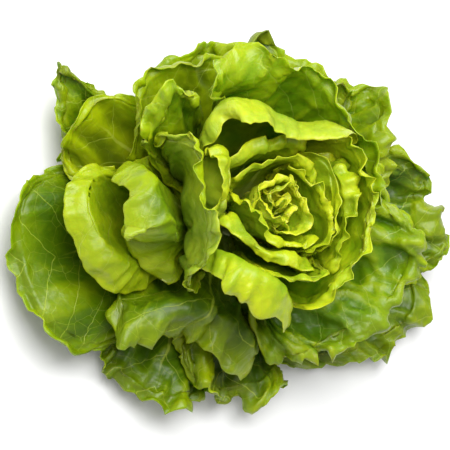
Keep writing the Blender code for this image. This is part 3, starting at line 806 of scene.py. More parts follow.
@dataclass
class FineLeaf:
    """The fine surface of one leaf.

    leaf: the leaf that it follows.
    points: middle surface, rows by columns.
    along, across: places of the rows and columns on the leaf.
    sunk: how far each place lies outward of the plain blade, in mm.
    """

    leaf: Leaf
    points: np.ndarray
    along: np.ndarray
    across: np.ndarray
    sunk: np.ndarray = field(init=False)

    def __post_init__(self) -> None:
        """Start from the plain blade."""
        self.sunk = np.zeros(self.points.shape[:2])

    @classmethod
    def over(cls, leaf: Leaf, push: np.ndarray, seed: float) -> "FineLeaf":
        """The fine grid of a leaf, moved by a spline through the coarse grid's push.

        Args:
            leaf: the leaf.
            push: push of each coarse grid point, in mm.
            seed: which draw of the leaf's dents.

        Returns:
            The fine leaf.
        """
        coarse_along, coarse_across = leaf.grid(False)
        along, across = leaf.grid(True)
        points = leaf.blade(along, across, seed)
        spread = spline_weights(coarse_along, along) @ push @ spline_weights(coarse_across, across).T
        direction, _ = away_from(points, leaf.kept_from)
        return cls(leaf, points + spread[..., None] * direction, along, across)

    def flat(self) -> tuple[np.ndarray, np.ndarray, np.ndarray]:
        """Lay the leaf flat, by the distances between neighbouring points added up.

        Returns:
            Distances in mm across the leaf from its midrib, along it from its root, and to its margin.
        """
        side = np.linalg.norm(np.diff(self.points, axis=1), axis=-1)
        up = np.linalg.norm(np.diff(self.points, axis=0), axis=-1)
        rows, columns = self.points.shape[:2]
        from_left = np.concatenate([np.zeros((rows, 1)), np.cumsum(side, axis=1)], axis=1)
        middle = from_left[:, columns // 2 - 1:columns // 2 + 1].mean(axis=1, keepdims=True)
        from_root = np.concatenate([np.zeros((1, columns)), np.cumsum(up, axis=0)], axis=0)
        to_side = np.minimum(from_left, from_left[:, -1:] - from_left)
        to_margin = np.minimum(from_root[-1:] - from_root, to_side)
        return from_left - middle, from_root, to_margin

    def crumple(self, how: Crumple, seed: float, share: float = 1.0) -> None:
        """Add the folds that the frame leaves out.

        Puckers are cushions with sharp seams, dents are smooth noise, folds are noise drawn out along
        the leaf, ruffles are sines along the margin whose size grows towards it, and lobes and teeth
        are noise that moves the margin along the leaf.

        Args:
            how: sizes of the folds.
            seed: which draw of them.
            share: how much of the puckers, dents and folds this leaf has.
        """
        x, y, _ = self.flat()
        out = normals(self.points)
        rise = smooth((self.along - 0.2) / 0.6)[:, None]
        inside = smooth((1 - np.abs(self.across)) / 0.12)[None, :]
        u, v = x / how.pucker_width, y / how.pucker_width
        wander = 0.35 * noise(u * 0.7 + 3, v * 0.7 + 9, seed + 7)
        hills = cushions(u + wander, v * 0.8 - wander, seed + 21) - 0.5
        small = noise(u * 2.3 + 5, v * 2.3, seed + 33)
        dents = noise(x / how.dent_width + 2, y / how.dent_width + 4, seed + 61)
        folds = noise(x / how.fold_width + 6 + 0.5 * wander, y / (4.0 * how.fold_width), seed + 45)
        creases = noise(x / how.fold_width + 31 + wander, y / (3.0 * how.fold_width) + 0.1 * u, seed + 71)
        folds = 0.6 * folds + 1.2 * np.abs(creases) - 0.4
        lift = how.pucker * (hills + 0.3 * small) + how.dent * dents + how.fold * folds
        edge = smooth((self.along - 0.75) / 1.25)[:, None]
        arc = x[-1:] / how.ruffle_length
        phase = arc + 1.1 * noise(arc * 0.45 + 7, 0, seed + 5)
        size = how.ruffle * (0.65 + 0.5 * noise(arc * 0.6, 3, seed + 11))
        ruffles = size * edge ** 1.6 * (np.sin(2 * np.pi * phase) + 0.35 * np.sin(4.6 * np.pi * phase + 1))
        # The material paints the parts that rise inward lighter as painted light and the sunk parts darker
        # as painted shade.
        self.sunk = share * lift * rise * inside
        moved = (share * lift * rise + (0.4 + 0.6 * share) * ruffles) * inside
        self.points = self.points + out * moved[..., None]
        outward = unit(np.gradient(self.points, axis=0))
        lobes = how.lobe * noise(x[-1:] / how.lobe_length, 8, seed + 77)
        teeth = how.tooth * noise(x[-1:] / how.tooth_length, 5, seed + 99)
        grow = np.clip(self.along - 1, 0, 1)[:, None] ** 2
        self.points = self.points + outward * (grow * (lobes + teeth) * inside)[..., None]
        sideways = unit(np.gradient(self.points, axis=1)) * np.sign(self.across)[None, :, None]
        ragged = how.tooth * noise(y / 4.0, 2, seed + 13) + how.lobe * 0.6 * noise(y / 15.0, 6, seed + 15)
        near_side = smooth((np.abs(self.across) - 0.8) / 0.2)[None, :] * rise
        self.points = self.points + sideways * (near_side * ragged)[..., None]

    def clear(self, envelope: Envelope) -> None:
        """Push the fine surface straight out where its folds reach into the leaves before it.

        Args:
            envelope: reach of the pieces placed before.
        """
        for _ in range(CLEAR_ROUNDS):
            inner_face = self.points - normals(self.points) * BLADE_THICKNESS / 2
            short = envelope.shortfall(inner_face, FINE_CLEARANCE)
            if short.max() < CLEAR_ENOUGH:
                break
            more = soften(soften(soften(widen(short, 1))))
            direction, _ = away_from(self.points, self.leaf.kept_from)
            self.points = self.points + more[..., None] * direction

    def faces(self) -> tuple[np.ndarray, np.ndarray]:
        """Both faces: the middle surface moved along its normals, thinner at the margin.

        They are lifted where either would be under the floor, since the lowest leaves rest on it.

        Returns:
            The inner and the outer face, rows by columns.
        """
        _, _, to_margin = self.flat()
        body = RIM_THICKNESS + (BLADE_THICKNESS - RIM_THICKNESS) * smooth(to_margin / RIM_REACH)
        out = normals(self.points) * body[..., None] / 2
        rib = unit(out) * self.leaf.rib(self.along, self.across)[..., None]
        inner, outer = self.points - out, self.points + out + rib
        lift = np.maximum(0, FLOOR_GAP - np.minimum(inner[..., 2], outer[..., 2]))
        up = lift[..., None] * np.array([0.0, 0.0, 1.0])
        return inner + up, outer + up

    def surface(self) -> Surface:
        """The closed surface between the two faces: both grids, and a strip round their borders.

        Returns:
            The surface, its outer face after its inner one.
        """
        inner, outer = self.faces()
        x, y, to_margin = self.flat()
        vertices = np.concatenate([inner.reshape(-1, 3), outer.reshape(-1, 3)]) * MM
        index = np.arange(x.size).reshape(x.shape)
        corners = [index[:-1, :-1], index[:-1, 1:], index[1:, 1:], index[1:, :-1]]
        quad = np.stack(corners, -1).reshape(-1, 4)
        border = np.concatenate([index[0, :-1], index[:-1, -1], index[-1, :0:-1], index[:0:-1, 0]])
        following = np.roll(border, -1)
        sides = np.stack([border, following, following + x.size, border + x.size], -1)
        quads = np.concatenate([quad[:, ::-1], quad + x.size, sides])
        uv = np.stack([x.ravel(), y.ravel()], -1) / UV_MM
        under = np.repeat([0.0, 1.0], x.size)
        return Surface(vertices, quads, np.concatenate([uv, uv]), np.tile(to_margin.ravel(), 2), under,
                       np.tile(self.sunk.ravel(), 2))


@dataclass(frozen=True)
class LeafTissue:
    """Living lettuce leaf: thin, waxy and translucent, with pale ribs and a net of fine veins.

    The wax gives a soft sheen, and light that enters the leaf leaves it yellow-green. Light and shade are
    also
    painted on: cushions that rise from the inner face are painted lighter and yellower as painted light,
    and the tissue sunk between them, and the tissue far in from the margin between the leaves, is painted a
    darker green as painted shade. Lengths are millimetres, and strengths go from 0 to 1.

    blade, shade, margin, rib, hollow_shade: sRGB colours of the blade, of its darker patches and of painted
        shade, of the young margin and of painted light, of the ribs and veins, and of painted shade in
        hollows.
    painted_light_share, painted_shade_share: strengths of painted light on cushions and painted shade
    between them.
    depth, vein_strength: strength of the painted shade far in from the margin, and of the veins.
    margin_width: width of the pale line along the margin.
    roughness, glow: how dull the wax is, and how much light passes through the leaf's body.
    side_vein_spacing, net_width, blister_width: spacing of the side veins along the midrib, and the
        widths of the net's cells and of the finest blisters.
    rib_length: how far from the root the midrib can be seen.
    """

    name: str
    blade: str
    shade: str
    margin: str
    rib: str
    hollow_shade: str
    painted_light_share: float = 0.33
    painted_shade_share: float = 0.65
    margin_width: float = 2.5
    depth: float = 0.45
    vein_strength: float = 0.3
    roughness: float = 0.35
    glow: float = 0.35
    side_vein_spacing: float = 24.0
    net_width: float = 12.0
    blister_width: float = 6.0
    rib_length: float = 110.0

    def material(self) -> bpy.types.Material:
        """The material, drawn in the leaf's flat coordinates, which count in hundreds of millimetres.

        Side veins leave the midrib at an acute angle, and the net between them is the edges of cells.
        The midrib narrows from 8 mm at the root to nothing near the crest. The blade's colour is
        overlaid by one tint after another, each where its mask is.

        Returns:
            The new material.
        """
        made, node, shader = new_material(self.name)
        flat = node("UVMap", uv_map="leaf")
        place = node("TexCoord", output="Object")
        margin, tone, sunk, under = [node("Attribute", output="Fac", attribute_name=kind)
                                     for kind in ("margin", "tone", "sunk", "under")]
        # Blotches 36 mm wide, mottle of 6 mm and grain of 4 mm, as repeats in a metre.
        patches, mottle, grain = [node("TexNoise", {"Vector": place, "Scale": scale, "Detail": detail})
                                  for scale, detail in ((28.0, 4.0), (160.0, 3.0), (260.0, 4.0))]
        # The veins sway by a few millimetres and fade in and out over about 40 mm.
        sway = node("TexNoise", {"Vector": flat, "Scale": 7.0, "Detail": 2.0}, output=1)
        sway = node("VectorMath", {0: sway, 1: (0.5, 0.5, 0.5)}, operation="SUBTRACT")
        swayed = node("VectorMath", {0: sway, 1: (0.05, 0.05, 0.0), 2: flat}, operation="MULTIPLY_ADD")
        fade = node("TexNoise", {"Vector": flat, "Scale": 2.6, "Detail": 1.0})
        side = node("SeparateXYZ", {0: swayed})
        along = side.node.outputs[1]
        across = node("Math", {0: side}, operation="ABSOLUTE")
        side_gap = node("Math", {0: across, 1: -0.8, 2: along}, operation="MULTIPLY_ADD")
        for operation, value in (("MULTIPLY", UV_MM / self.side_vein_spacing), ("FRACT", 0.0),
                                 ("SUBTRACT", 0.5), ("ABSOLUTE", 0.0)):
            side_gap = node("Math", {0: side_gap, 1: value}, operation=operation)
        net_gap, blister_gap = [node("TexVoronoi", {"Vector": swayed, "Scale": UV_MM / width},
                                     feature="DISTANCE_TO_EDGE", voronoi_dimensions="2D")
                                for width in (self.net_width, self.blister_width)]
        length = self.rib_length / UV_MM
        rib_width = node("MapRange", {0: along, 1: 0.0, 2: length, 3: 0.035, 4: 0.0015})
        rib_gap = node("Math", {0: across, 1: rib_width}, operation="DIVIDE")
        # Each mask is a value, the two places between which it changes smoothly, and the mask at each.
        steps = {
            "shaded": (patches, 0.38, 0.66, 0.0, 1.0),
            "blotched": (patches, 0.25, 0.65, 0.0, 1.0),
            "mottled": (mottle, 0.45, 0.75, 0.0, 1.0),
            # Painted shade: a darker green far in from the margin, where the leaves lie between others.
            "inside": (margin, 6.0, 30.0, 0.0, 1.0),
            "outside": (margin, 2.0, 32.0, 1.0, 0.0),
            "edge": (margin, 0.2, self.margin_width, 1.0, 0.0),
            # Painted light on cushions that rise from the inner face, and painted shade in the hollows
            # between them.
            "painted_light_raised": (sunk, -0.2, -2.6, 0.0, 1.0),
            "painted_shade_hollow": (sunk, 0.0, 2.4, 0.0, 1.0),
            "base": (along, 0.05, 0.3, 1.0, 0.0),
            "rib": (rib_gap, 0.5, 1.2, 1.0, 0.0),
            "rib_fade": (along, 0.5 * length, length, 1.0, 0.0),
            "side_veins": (side_gap, 0.004, 0.022, 1.0, 0.0),
            "net": (net_gap, 0.003, 0.028, 1.0, 0.0),
            "net_fade": (fade, 0.35, 0.6, 0.12, 0.62),
            "blistered": (blister_gap, 0.0, 0.45, 0.0, 0.5),
        }
        mask = {name: node("MapRange", dict(enumerate(step)), interpolation_type="SMOOTHSTEP")
                for name, step in steps.items()}
        mask["under"] = under
        # Painted light and shade for the whole leaf, lighter or darker by its tone.
        mask["painted_light_leaf"] = node("MapRange", {0: tone, 1: 0.0, 2: 1.0})
        mask["painted_shade_leaf"] = node("MapRange", {0: tone, 1: 0.0, 2: -1.0})
        for name, operation, other in (("edge", "MULTIPLY", "blotched"), ("rib", "MULTIPLY", "rib_fade"),
                                       ("net", "MULTIPLY", "net_fade"), ("side_veins", "MAXIMUM", "net")):
            mask[name] = node("Math", {0: mask[name], 1: mask[other]}, operation=operation)
        tints = (
            ("shaded", 1.0, self.shade),
            ("mottled", 0.35, self.margin),
            # Painted light and shade: the whole leaf by its tone, the tissue far in from the margin, the
            # cushions and the hollows between them.
            ("painted_light_leaf", 1.0, self.margin),
            ("painted_shade_leaf", 1.0, self.shade),
            ("inside", self.depth, self.shade),
            ("painted_light_raised", self.painted_light_share, self.margin),
            ("painted_shade_hollow", self.painted_shade_share, self.hollow_shade),
            ("outside", 0.25, self.margin),
            ("edge", 0.4, self.margin),
            ("under", 0.12, self.rib),
            ("base", 0.6, self.rib),
            ("side_veins", self.vein_strength, self.rib),
            ("rib", 0.9, self.rib),
        )
        colour = linear(self.blade)
        for name, strength, tint in tints:
            share = node("Math", {0: mask[name], 1: strength}, operation="MULTIPLY")
            colour = node("Mix", {0: share, 6: colour, 7: linear(tint)}, output=2, data_type="RGBA")
        relief = node("Math", {0: mask["blistered"], 1: grain}, operation="ADD")
        relief = node("Math", {0: mask["side_veins"], 1: -0.5, 2: relief}, operation="MULTIPLY_ADD")
        fill(shader, {
            "Base Color": colour,
            "Normal": node("Bump", {"Strength": 0.7, "Distance": 0.0003, "Height": relief}),
            "Roughness": node("MapRange", {0: patches, 1: 0.3, 2: 0.7, 3: self.roughness - 0.06,
                                           4: self.roughness + 0.08}),
            "IOR": 1.38,
            "Subsurface Weight": self.glow,
            "Subsurface Radius": (0.55, 1.0, 0.08),
            "Subsurface Scale": 0.003,
        })
        return made


# Besides their own colours, the margin colours also serve as painted light, the shade colours as painted
# shade, and the last colour is painted shade in the hollows between cushions.
TISSUES = {
    Kind.HEART: LeafTissue("young_heart_leaf", blade="#C4CE1C", shade="#7EA010", margin="#D6DC34",
                           rib="#CCDC60", hollow_shade="#648808", vein_strength=0.08, glow=0.4, rib_length=40.0),
    Kind.RING: LeafTissue("inner_lettuce_leaf", blade="#A8B80E", shade="#68900A", margin="#CCD424",
                          rib="#C4D458", hollow_shade="#507804", vein_strength=0.1, rib_length=55.0),
    Kind.WRAPPER: LeafTissue("wrapper_lettuce_leaf", blade="#7C9806", shade="#587C06", margin="#B2BE10",
                             rib="#B8C658", hollow_shade="#3E6002", depth=0.35, rib_length=75.0),
    Kind.OUTER: LeafTissue("outer_lettuce_leaf", blade="#647E02", shade="#446402", margin="#A2B006",
                           rib="#B0BC40", hollow_shade="#2C4602", depth=0.15, vein_strength=0.45, glow=0.3),
}


RING_LEAVES = (
    Leaf("inner_low", 50.0, ((172, 27, 96), (192, 24, 104), (225, 22, 106), (260, 21, 105), (308, 25, 97)),
         belly=0.10, hem=9, curl=80, waves=(3, 35, 0.1), flutes=(3, 1.2, 0.0), flaps=((0.8, 0.4, -0.6, 0),),
         lattice=Lattice.SMALL),
    Leaf("inner_right", 48.6, ((300, 26, 95), (316, 25, 104), (345, 23, 107), (30, 22, 107), (75, 25, 99)),
         belly=0.10, hem=6, curl=5, waves=(3, 30, 0.4), flutes=(3, 1.2, 0.3), lattice=Lattice.SMALL),
    Leaf("inner_top", 47.2, ((45, 26, 97), (68, 26, 104), (95, 26, 106), (125, 29, 105), (152, 33, 97)),
         belly=0.10, hem=8, curl=45, waves=(3, 35, 0.7), flutes=(3, 1.2, 0.6), lattice=Lattice.SMALL),
    Leaf("low_band", 45.8, ((190, 37, 99), (202, 35, 108), (225, 32, 110), (264, 29, 108), (294, 32, 99)),
         belly=0.12, hem=12, curl=110, bend=0.5, waves=(3, 25, 0.3), flutes=(3, 1.5, 0.2),
         flaps=((0.9, 0.4, -0.7, 0),), lattice=Lattice.SMALL),
    Leaf("right_band", 44.4, ((312, 35, 97), (326, 32, 106), (347, 29, 108), (20, 28, 109), (60, 33, 99)),
         belly=0.12, hem=6, curl=5, waves=(3, 30, 0.0), flutes=(3, 1.2, 0.7), lattice=Lattice.SMALL),
    Leaf("point", 43.1, ((246, 41, 97), (260, 39, 108), (276, 37, 113), (292, 38, 109), (306, 42, 99)),
         belly=0.13, hem=7, curl=45, waves=(3, 30, 0.2), flutes=(2, 1.2, 0.0), lattice=Lattice.SMALL),
    Leaf("top_fold", 41.7, ((74, 34, 97), (94, 34, 106), (112, 35, 109), (132, 40, 107), (150, 46, 97)),
         belly=0.14, hem=12, curl=85, bend=0.5, waves=(3, 30, 0.3), flutes=(3, 1.2, 0.4),
         lattice=Lattice.SMALL),
    Leaf("ring_left", 40.3, ((142, 46, 95), (150, 43, 107), (164, 41, 111), (178, 42, 110), (194, 46, 97)),
         belly=0.13, hem=11, curl=75, bend=0.6, waves=(3, 30, 0.6), flutes=(3, 1.5, 0.0)),
    Leaf("fold_right", 38.9, ((316, 42, 97), (332, 38, 108), (357, 35, 112), (14, 36, 114), (28, 37, 111),
                              (44, 41, 99)),
         belly=0.15, hem=11, curl=5, waves=(3, 30, 0.0), flutes=(3, 1.5, 0.5),
         flaps=((0.3, 0.26, 0.8, 150),)),
    Leaf("ring_right", 37.5, ((284, 58, 92), (294, 54, 100), (316, 47, 109), (345, 42, 112), (15, 41, 112),
                              (38, 43, 110), (60, 46, 98)),
         belly=0.17, hem=8, curl=20, waves=(4, 35, 0.2), flutes=(4, 1.8, 0.2)),
    Leaf("flap_low", 36.1, ((208, 54, 97), (215, 52, 110), (226, 50, 116), (240, 48, 117), (256, 49, 114),
                            (272, 54, 103)),
         belly=0.15, hem=26, curl=125, bend=0.45, waves=(3, 25, 0.2), flutes=(3, 2.0, 0.7),
         flaps=((-0.9, 0.5, -0.8, 0), (0.8, 0.35, -0.6, -20)), lattice=Lattice.FOLDED, relief=0.4),
    Leaf("arch_top", 34.7, ((46, 56, 94), (58, 58, 104), (76, 55, 107), (89, 55, 109), (106, 64, 109),
                            (121, 76, 108), (133, 77, 102), (145, 68, 92)),
         belly=0.20, hem=25, curl=-85, bend=0.5, waves=(3, 8, 0.1), flutes=(3, 2.0, 0.1),
         flaps=((-0.75, 0.3, -0.5, 0), (0.85, 0.4, -0.45, 60)), lattice=Lattice.FOLDED, relief=0.6),
)

# Each leaf's tone lightens or darkens it as painted light and shade, for how brightly it is lit.
WRAPPER_LEAVES = (
    Leaf("wrap_right", 33.3, ((340, 60, 84), (354, 60, 96), (8, 60, 100), (26, 63, 101), (42, 69, 102),
                              (58, 74, 102), (74, 82, 104), (88, 86, 105), (103, 84, 105), (117, 84, 96)),
         belly=0.22, hem=13, curl=-25, waves=(5, 40, 0.0), flutes=(4, 2.5, 0.0),
         flaps=((0.42, 0.12, 0.5, 140), (0.75, 0.25, 0.5, -70)), relief=1.3, tone=-0.35),
    Leaf("tall_left", 31.9, ((150, 84, 82), (153, 76, 99), (162, 62, 108), (180, 54, 110), (203, 52, 103),
                             (217, 56, 88), (225, 62, 76)),
         belly=0.15, hem=9, curl=5, waves=(4, 35, 0.3), flutes=(4, 2.5, 0.3), tone=0.15),
    Leaf("fold_top_left", 30.5, ((128, 80, 73), (133, 90, 93), (139, 98, 101), (145, 94, 93),
                                 (152, 84, 73)),
         belly=0.12, hem=12, curl=40, flutes=(2, 4.5, 0.25), lattice=Lattice.SMALL),
    Leaf("narrow_left", 29.1, ((163, 92, 78), (168, 90, 92), (174, 86, 99), (181, 80, 101), (189, 74, 98),
                               (197, 70, 84)),
         belly=0.12, hem=23, curl=120, bend=0.4, waves=(2, 12, 0.5), flutes=(2, 1.5, 0.0),
         flaps=((-0.7, 0.5, -0.6, -40), (0.35, 0.42, 0.9, 0), (0.9, 0.4, -0.5, -60)),
         lattice=Lattice.FOLDED, relief=0.5, tone=0.2),
    Leaf("glossy_low_right", 27.7, ((286, 84, 48), (294, 92, 57), (306, 97, 66), (324, 105, 76),
                                    (340, 108, 82), (352, 98, 86), (4, 86, 84), (14, 74, 76)),
         belly=0.14, hem=14, curl=85, bend=0.8, waves=(4, 30, 0.3), flutes=(5, 3.5, 0.2),
         relief=1.8, tone=-0.75),
    Leaf("folded_left", 26.0, ((168, 106, 52), (173, 115, 60), (179, 117, 64), (185, 114, 65),
                               (192, 109, 65), (198, 101, 62), (203, 88, 54)),
         belly=0.2, hem=15, curl=95, bend=0.35, waves=(3, 10, 0.1), flutes=(2, 1.5, 0.3),
         flaps=((-0.8, 0.4, -0.5, -70), (0.3, 0.35, 0.6, 5), (0.95, 0.3, -0.4, 0)), lattice=Lattice.FOLDED,
         relief=0.5, tone=0.35),
)

# Each leaf's tone lightens or darkens it as painted light and shade, for how brightly it is lit.
OUTER_LEAVES = (
    Leaf("low_left", 25.0, ((211, 84, 56), (217, 80, 64), (227, 74, 67), (241, 68, 64), (256, 66, 57),
                            (270, 70, 50), (281, 77, 44)),
         belly=0.05, hem=34, curl=100, bend=0.5, waves=(3, 35, 0.3), flutes=(4, 3.0, 0.0),
         flaps=((-0.9, 0.45, -0.6, 0), (0.9, 0.5, -0.55, 0)), lattice=Lattice.FOLDED,
         relief=0.8, tone=0.05),
    Leaf("arch_upper_left", 23.6, ((100, 92, 52), (111, 98, 62), (120, 101, 66), (133, 108, 66),
                                   (143, 104, 62), (149, 96, 56), (157, 82, 46)),
         belly=0.06, hem=9, curl=-15, waves=(4, 35, 0.0), flutes=(3, 3.0, 0.3), relief=0.6, tone=0.35),
    Leaf("top", 22.2, ((41, 112, 40), (49, 110, 48), (60, 102, 54), (73, 102, 56), (84, 108, 56),
                       (93, 104, 50), (98, 92, 40)),
         belly=0.06, hem=10, curl=0, waves=(4, 35, 0.2), flutes=(4, 3.5, 0.1), relief=1.2, tone=0.05),
    Leaf("right_upper", 20.8, ((8, 92, 36), (17, 113, 42), (28, 107, 55), (37, 116, 57), (45, 102, 50),
                               (52, 88, 38)),
         belly=0.08, hem=12, curl=20, waves=(4, 45, 0.5), flutes=(3, 3.5, 0.0), relief=1.4, tone=0.05),
    Leaf("upper_left", 19.4, ((128, 88, 40), (137, 98, 49), (143, 115, 54), (150, 127, 48), (157, 127, 38),
                              (163, 119, 28), (170, 92, 22)),
         belly=0.05, hem=10, curl=0, waves=(4, 35, 0.5), flutes=(4, 3.5, 0.6), relief=0.5, tone=0.75),
    Leaf("right", 18.0, ((338, 112, 22), (347, 141, 28), (354, 156, 33), (2, 140, 37), (9, 138, 42),
                         (16, 124, 42), (25, 94, 34)),
         belly=0.05, hem=16, curl=20, waves=(4, 50, 0.2), flutes=(4, 3.5, 0.0), relief=1.9),
    Leaf("top_behind", 16.6, ((93, 86, 36), (100, 98, 44), (112, 102, 47), (122, 101, 45), (132, 84, 34)),
         belly=0.05, hem=10, curl=0, waves=(3, 35, 0.0), flutes=(4, 2.5, 0.5)),
    Leaf("low_right", 15.2, ((292, 86, 15), (304, 112, 16), (317, 128, 18), (328, 144, 20), (337, 149, 24),
                             (346, 142, 24), (353, 112, 20)),
         belly=0.04, hem=12, curl=0, waves=(4, 40, 0.0), flutes=(4, 3.5, 0.4), relief=1.3),
    Leaf("left", 13.8, ((165, 98, 21), (172, 132, 25), (178, 146, 28), (188, 146, 28), (200, 148, 28),
                        (213, 140, 26), (224, 112, 24)),
         belly=0.03, hem=12, curl=0, waves=(4, 35, 0.1), flutes=(4, 3.5, 0.3), relief=0.45, tone=-0.7),
    Leaf("low_front", 12.4, ((246, 84, 27), (254, 100, 30), (264, 108, 30), (276, 104, 30), (286, 98, 29),
                             (295, 84, 26)),
         belly=0.03, hem=16, curl=30, waves=(4, 60, 0.1), flutes=(4, 3.5, 0.2), relief=1.3, tone=0.1),
    Leaf("far_upper_left", 11.2, ((139, 92, 25), (141, 126, 31), (143, 148, 34), (149, 133, 28),
                                  (156, 123, 22), (163, 94, 18)),
         belly=0.02, hem=9, curl=0, waves=(4, 45, 0.1), flutes=(4, 3.0, 0.0), tone=-0.2),
    Leaf("lowest", 10.0, ((221, 90, 24), (230, 114, 25), (240, 124, 24), (251, 122, 23), (260, 108, 22),
                          (268, 84, 20)),
         belly=0.02, hem=12, curl=10, waves=(4, 45, 0.6), flutes=(4, 3.0, 0.5), relief=1.2, tone=-0.9),
)

LEAVES = (
    *RING_LEAVES,
    *[replace(leaf, kind=Kind.WRAPPER) for leaf in WRAPPER_LEAVES],
    *[replace(leaf, kind=Kind.OUTER) for leaf in OUTER_LEAVES],
)


@dataclass(frozen=True)
class Heart:
    """The tight bunch in the middle: its smallest leaves by rule, round a small core that fills it.

    Each leaf is a golden angle on from the one before, a little wider, higher and lower rooted.

    count, seed: number of leaves, and which draw of their unevenness.
    first, turn: azimuth of the first leaf, and the golden angle.
    spread: degrees from a leaf's middle to either end of its crest.
    inner, outer: radius of the first and of the last leaf's crest.
    top, depth: height of the last leaf's crest, and how much lower the first one is.
    dip, drop: how far a crest draws in at its middle, as a share, and how much lower its ends are.
    aside: azimuth and radius of the first leaf's middle, since the bunch leans a little.
    root, root_step: height of the first leaf's root, and how much lower each next one is.
    core: (radius, height) of the core, from the bottom to the top.
    core_rows, core_sides: rows between two of those, and points round the axis.
    """

    count: int = 8
    seed: int = 40
    first: float = 250.0
    turn: float = 137.5
    spread: float = 72.0
    inner: float = 4.0
    outer: float = 18.0
    top: float = 103.0
    depth: float = 12.0
    dip: float = 0.25
    drop: float = 12.0
    aside: tuple = (63.0, 6.5)
    root: float = 65.0
    root_step: float = 1.2
    core: tuple = ((6.0, 53.0), (9.5, 57.0), (11.0, 63.0), (9.0, 71.0), (4.0, 79.0))
    core_rows: int = 12
    core_sides: int = 48

    def core_profile(self) -> np.ndarray:
        """Points of the core's profile, with straight lines between the given ones."""
        return line_weights(len(self.core), self.core_rows) @ np.array(self.core)

    def core_surface(self) -> Surface:
        """The core, closed at both ends."""
        rows = self.core_profile()
        return turned(np.concatenate([[[0.0, rows[0, 1]]], rows, [[0.0, rows[-1, 1]]]]), self.core_sides)

    def leaf(self, number: int) -> Leaf:
        """One leaf: its crest is an arc with a dip in the middle and lower ends, all a little uneven.

        Args:
            number: place of the leaf from the inside out, from 0.

        Returns:
            The leaf.
        """
        share = number / (self.count - 1)
        draw = np.random.default_rng(self.seed + number)
        jitter = draw.uniform(-1, 1, 8)
        azimuth = self.first + number * self.turn
        radius = self.inner + (self.outer - self.inner) * share
        height = self.top - self.depth * (1 - share)
        middle = polar(self.aside[0], self.aside[1] * (1 - share), 0.0)
        places = np.linspace(-1, 1, 5)
        drawn_in = 1 - self.dip * (1 - np.abs(places)) * (1 - share) - 0.1 * jitter[:5]
        crest = polar(azimuth + places * (self.spread + 8.0 * jitter[0]), radius * drawn_in, 0.0) + middle
        azimuths = np.unwrap(np.degrees(np.arctan2(crest[:, 1], crest[:, 0])), period=360)
        heights = height - self.drop * places ** 2 + 3.0 * jitter[:5]
        return Leaf(
            f"heart_{number + 1:02d}", self.root - self.root_step * number,
            tuple(zip(azimuths, np.hypot(crest[:, 0], crest[:, 1]), heights)),
            belly=0.1, hem=5.0 + share, curl=10.0 + 25.0 * share,
            waves=(3.0 + jitter[1], 40.0, draw.uniform()), flutes=(3.0 + jitter[2], 1.2, draw.uniform()),
            lattice=Lattice.TINY, root_radius=3.5 + 4.0 * share, kind=Kind.HEART)


@dataclass
class Head:
    """The leaves of the head, from the heart outwards.

    heart: the bunch in the middle.
    leaves: the separate leaves, from the innermost out.
    coarse_times, fine_times: steps taken between two points of a coarse or a fine face when it is
        noted, enough to leave no hole in the envelopes.
    """

    heart: Heart = Heart()
    leaves: tuple = LEAVES
    coarse_times: int = 8
    fine_times: int = 2

    def __post_init__(self) -> None:
        """Make the finishes and the empty envelopes."""
        heights = (UPRIGHT_FROM, SPREAD_FROM)
        self.finishes = {kind: tissue.material() for kind, tissue in TISSUES.items()}
        self.coarse = {height: Envelope(height) for height in heights}
        self.fine = {height: Envelope(height) for height in heights}

    def note(self, envelopes: dict[float, Envelope], face: np.ndarray, times: int) -> None:
        """Note a face in every envelope.

        Args:
            envelopes: the envelopes.
            face: points, rows by columns.
            times: steps taken between two of its points.
        """
        rows, columns = line_weights(face.shape[0], times), line_weights(face.shape[1], times)
        dense = between(rows, face, columns)
        for envelope in envelopes.values():
            envelope.add(dense)

    def finish(self, piece: bpy.types.Object, kind: Kind, node: str) -> None:
        """Dress a piece and let it stand for its node.

        Args:
            piece: the object.
            kind: the kind of leaf, which decides its tissue.
            node: name of the node.
        """
        piece.data.materials.append(self.finishes[kind])
        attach(piece, "root")
        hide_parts(node)

    def build_heart(self) -> None:
        """The heart: its leaves and core in one piece."""
        profile = self.heart.core_profile()
        core = polar(np.arange(0, 360, 1.0)[None, :], profile[:, 0][:, None], profile[:, 1][:, None])
        self.note(self.coarse, core, 1)
        self.note(self.fine, core, 1)
        parts = [self.heart.core_surface()]
        for seed in range(self.heart.count):
            leaf = self.heart.leaf(seed)
            along, across = leaf.grid(False)
            for face in leaf.coarse_faces(leaf.blade(along, across, seed)):
                self.note(self.coarse, face, self.coarse_times)
            fine = FineLeaf.over(leaf, np.zeros((len(along), len(across))), seed)
            fine.crumple(CRUMPLES[Kind.HEART], seed)
            self.note(self.fine, fine.faces()[1], self.fine_times)
            parts.append(fine.surface())
        piece = write_mesh("heart_leaves", parts)
        close_ends(piece)
        self.finish(piece, Kind.HEART, "heart")
        log.info("heart of %d leaves", self.heart.count)

    def build_leaf(self, leaf: Leaf, seed: int) -> None:
        """One separate leaf: settle the coarse grid, follow it with the fine one, crumple it, clear it.

        Args:
            leaf: the leaf.
            seed: which draw of its dents and folds.
        """
        push, points = leaf.coarse_push(self.coarse[leaf.kept_from], seed)
        self.note(self.coarse, leaf.coarse_faces(points)[1], self.coarse_times)
        fine = FineLeaf.over(leaf, push, seed)
        fine.crumple(CRUMPLES[leaf.kind], seed, leaf.relief)
        fine.clear(self.fine[leaf.kept_from])
        self.note(self.fine, fine.faces()[1], self.fine_times)
        piece = write_mesh(f"{leaf.name}_leaf", [fine.surface()], leaf.tone)
        self.finish(piece, leaf.kind, leaf.name)
        log.info("%s pushed up to %.1f mm", leaf.name, push.max())

    def build(self) -> None:
        """The heart, then every leaf from the innermost outwards."""
        self.build_heart()
        for number, leaf in enumerate(self.leaves):
            self.build_leaf(leaf, self.heart.count + number)


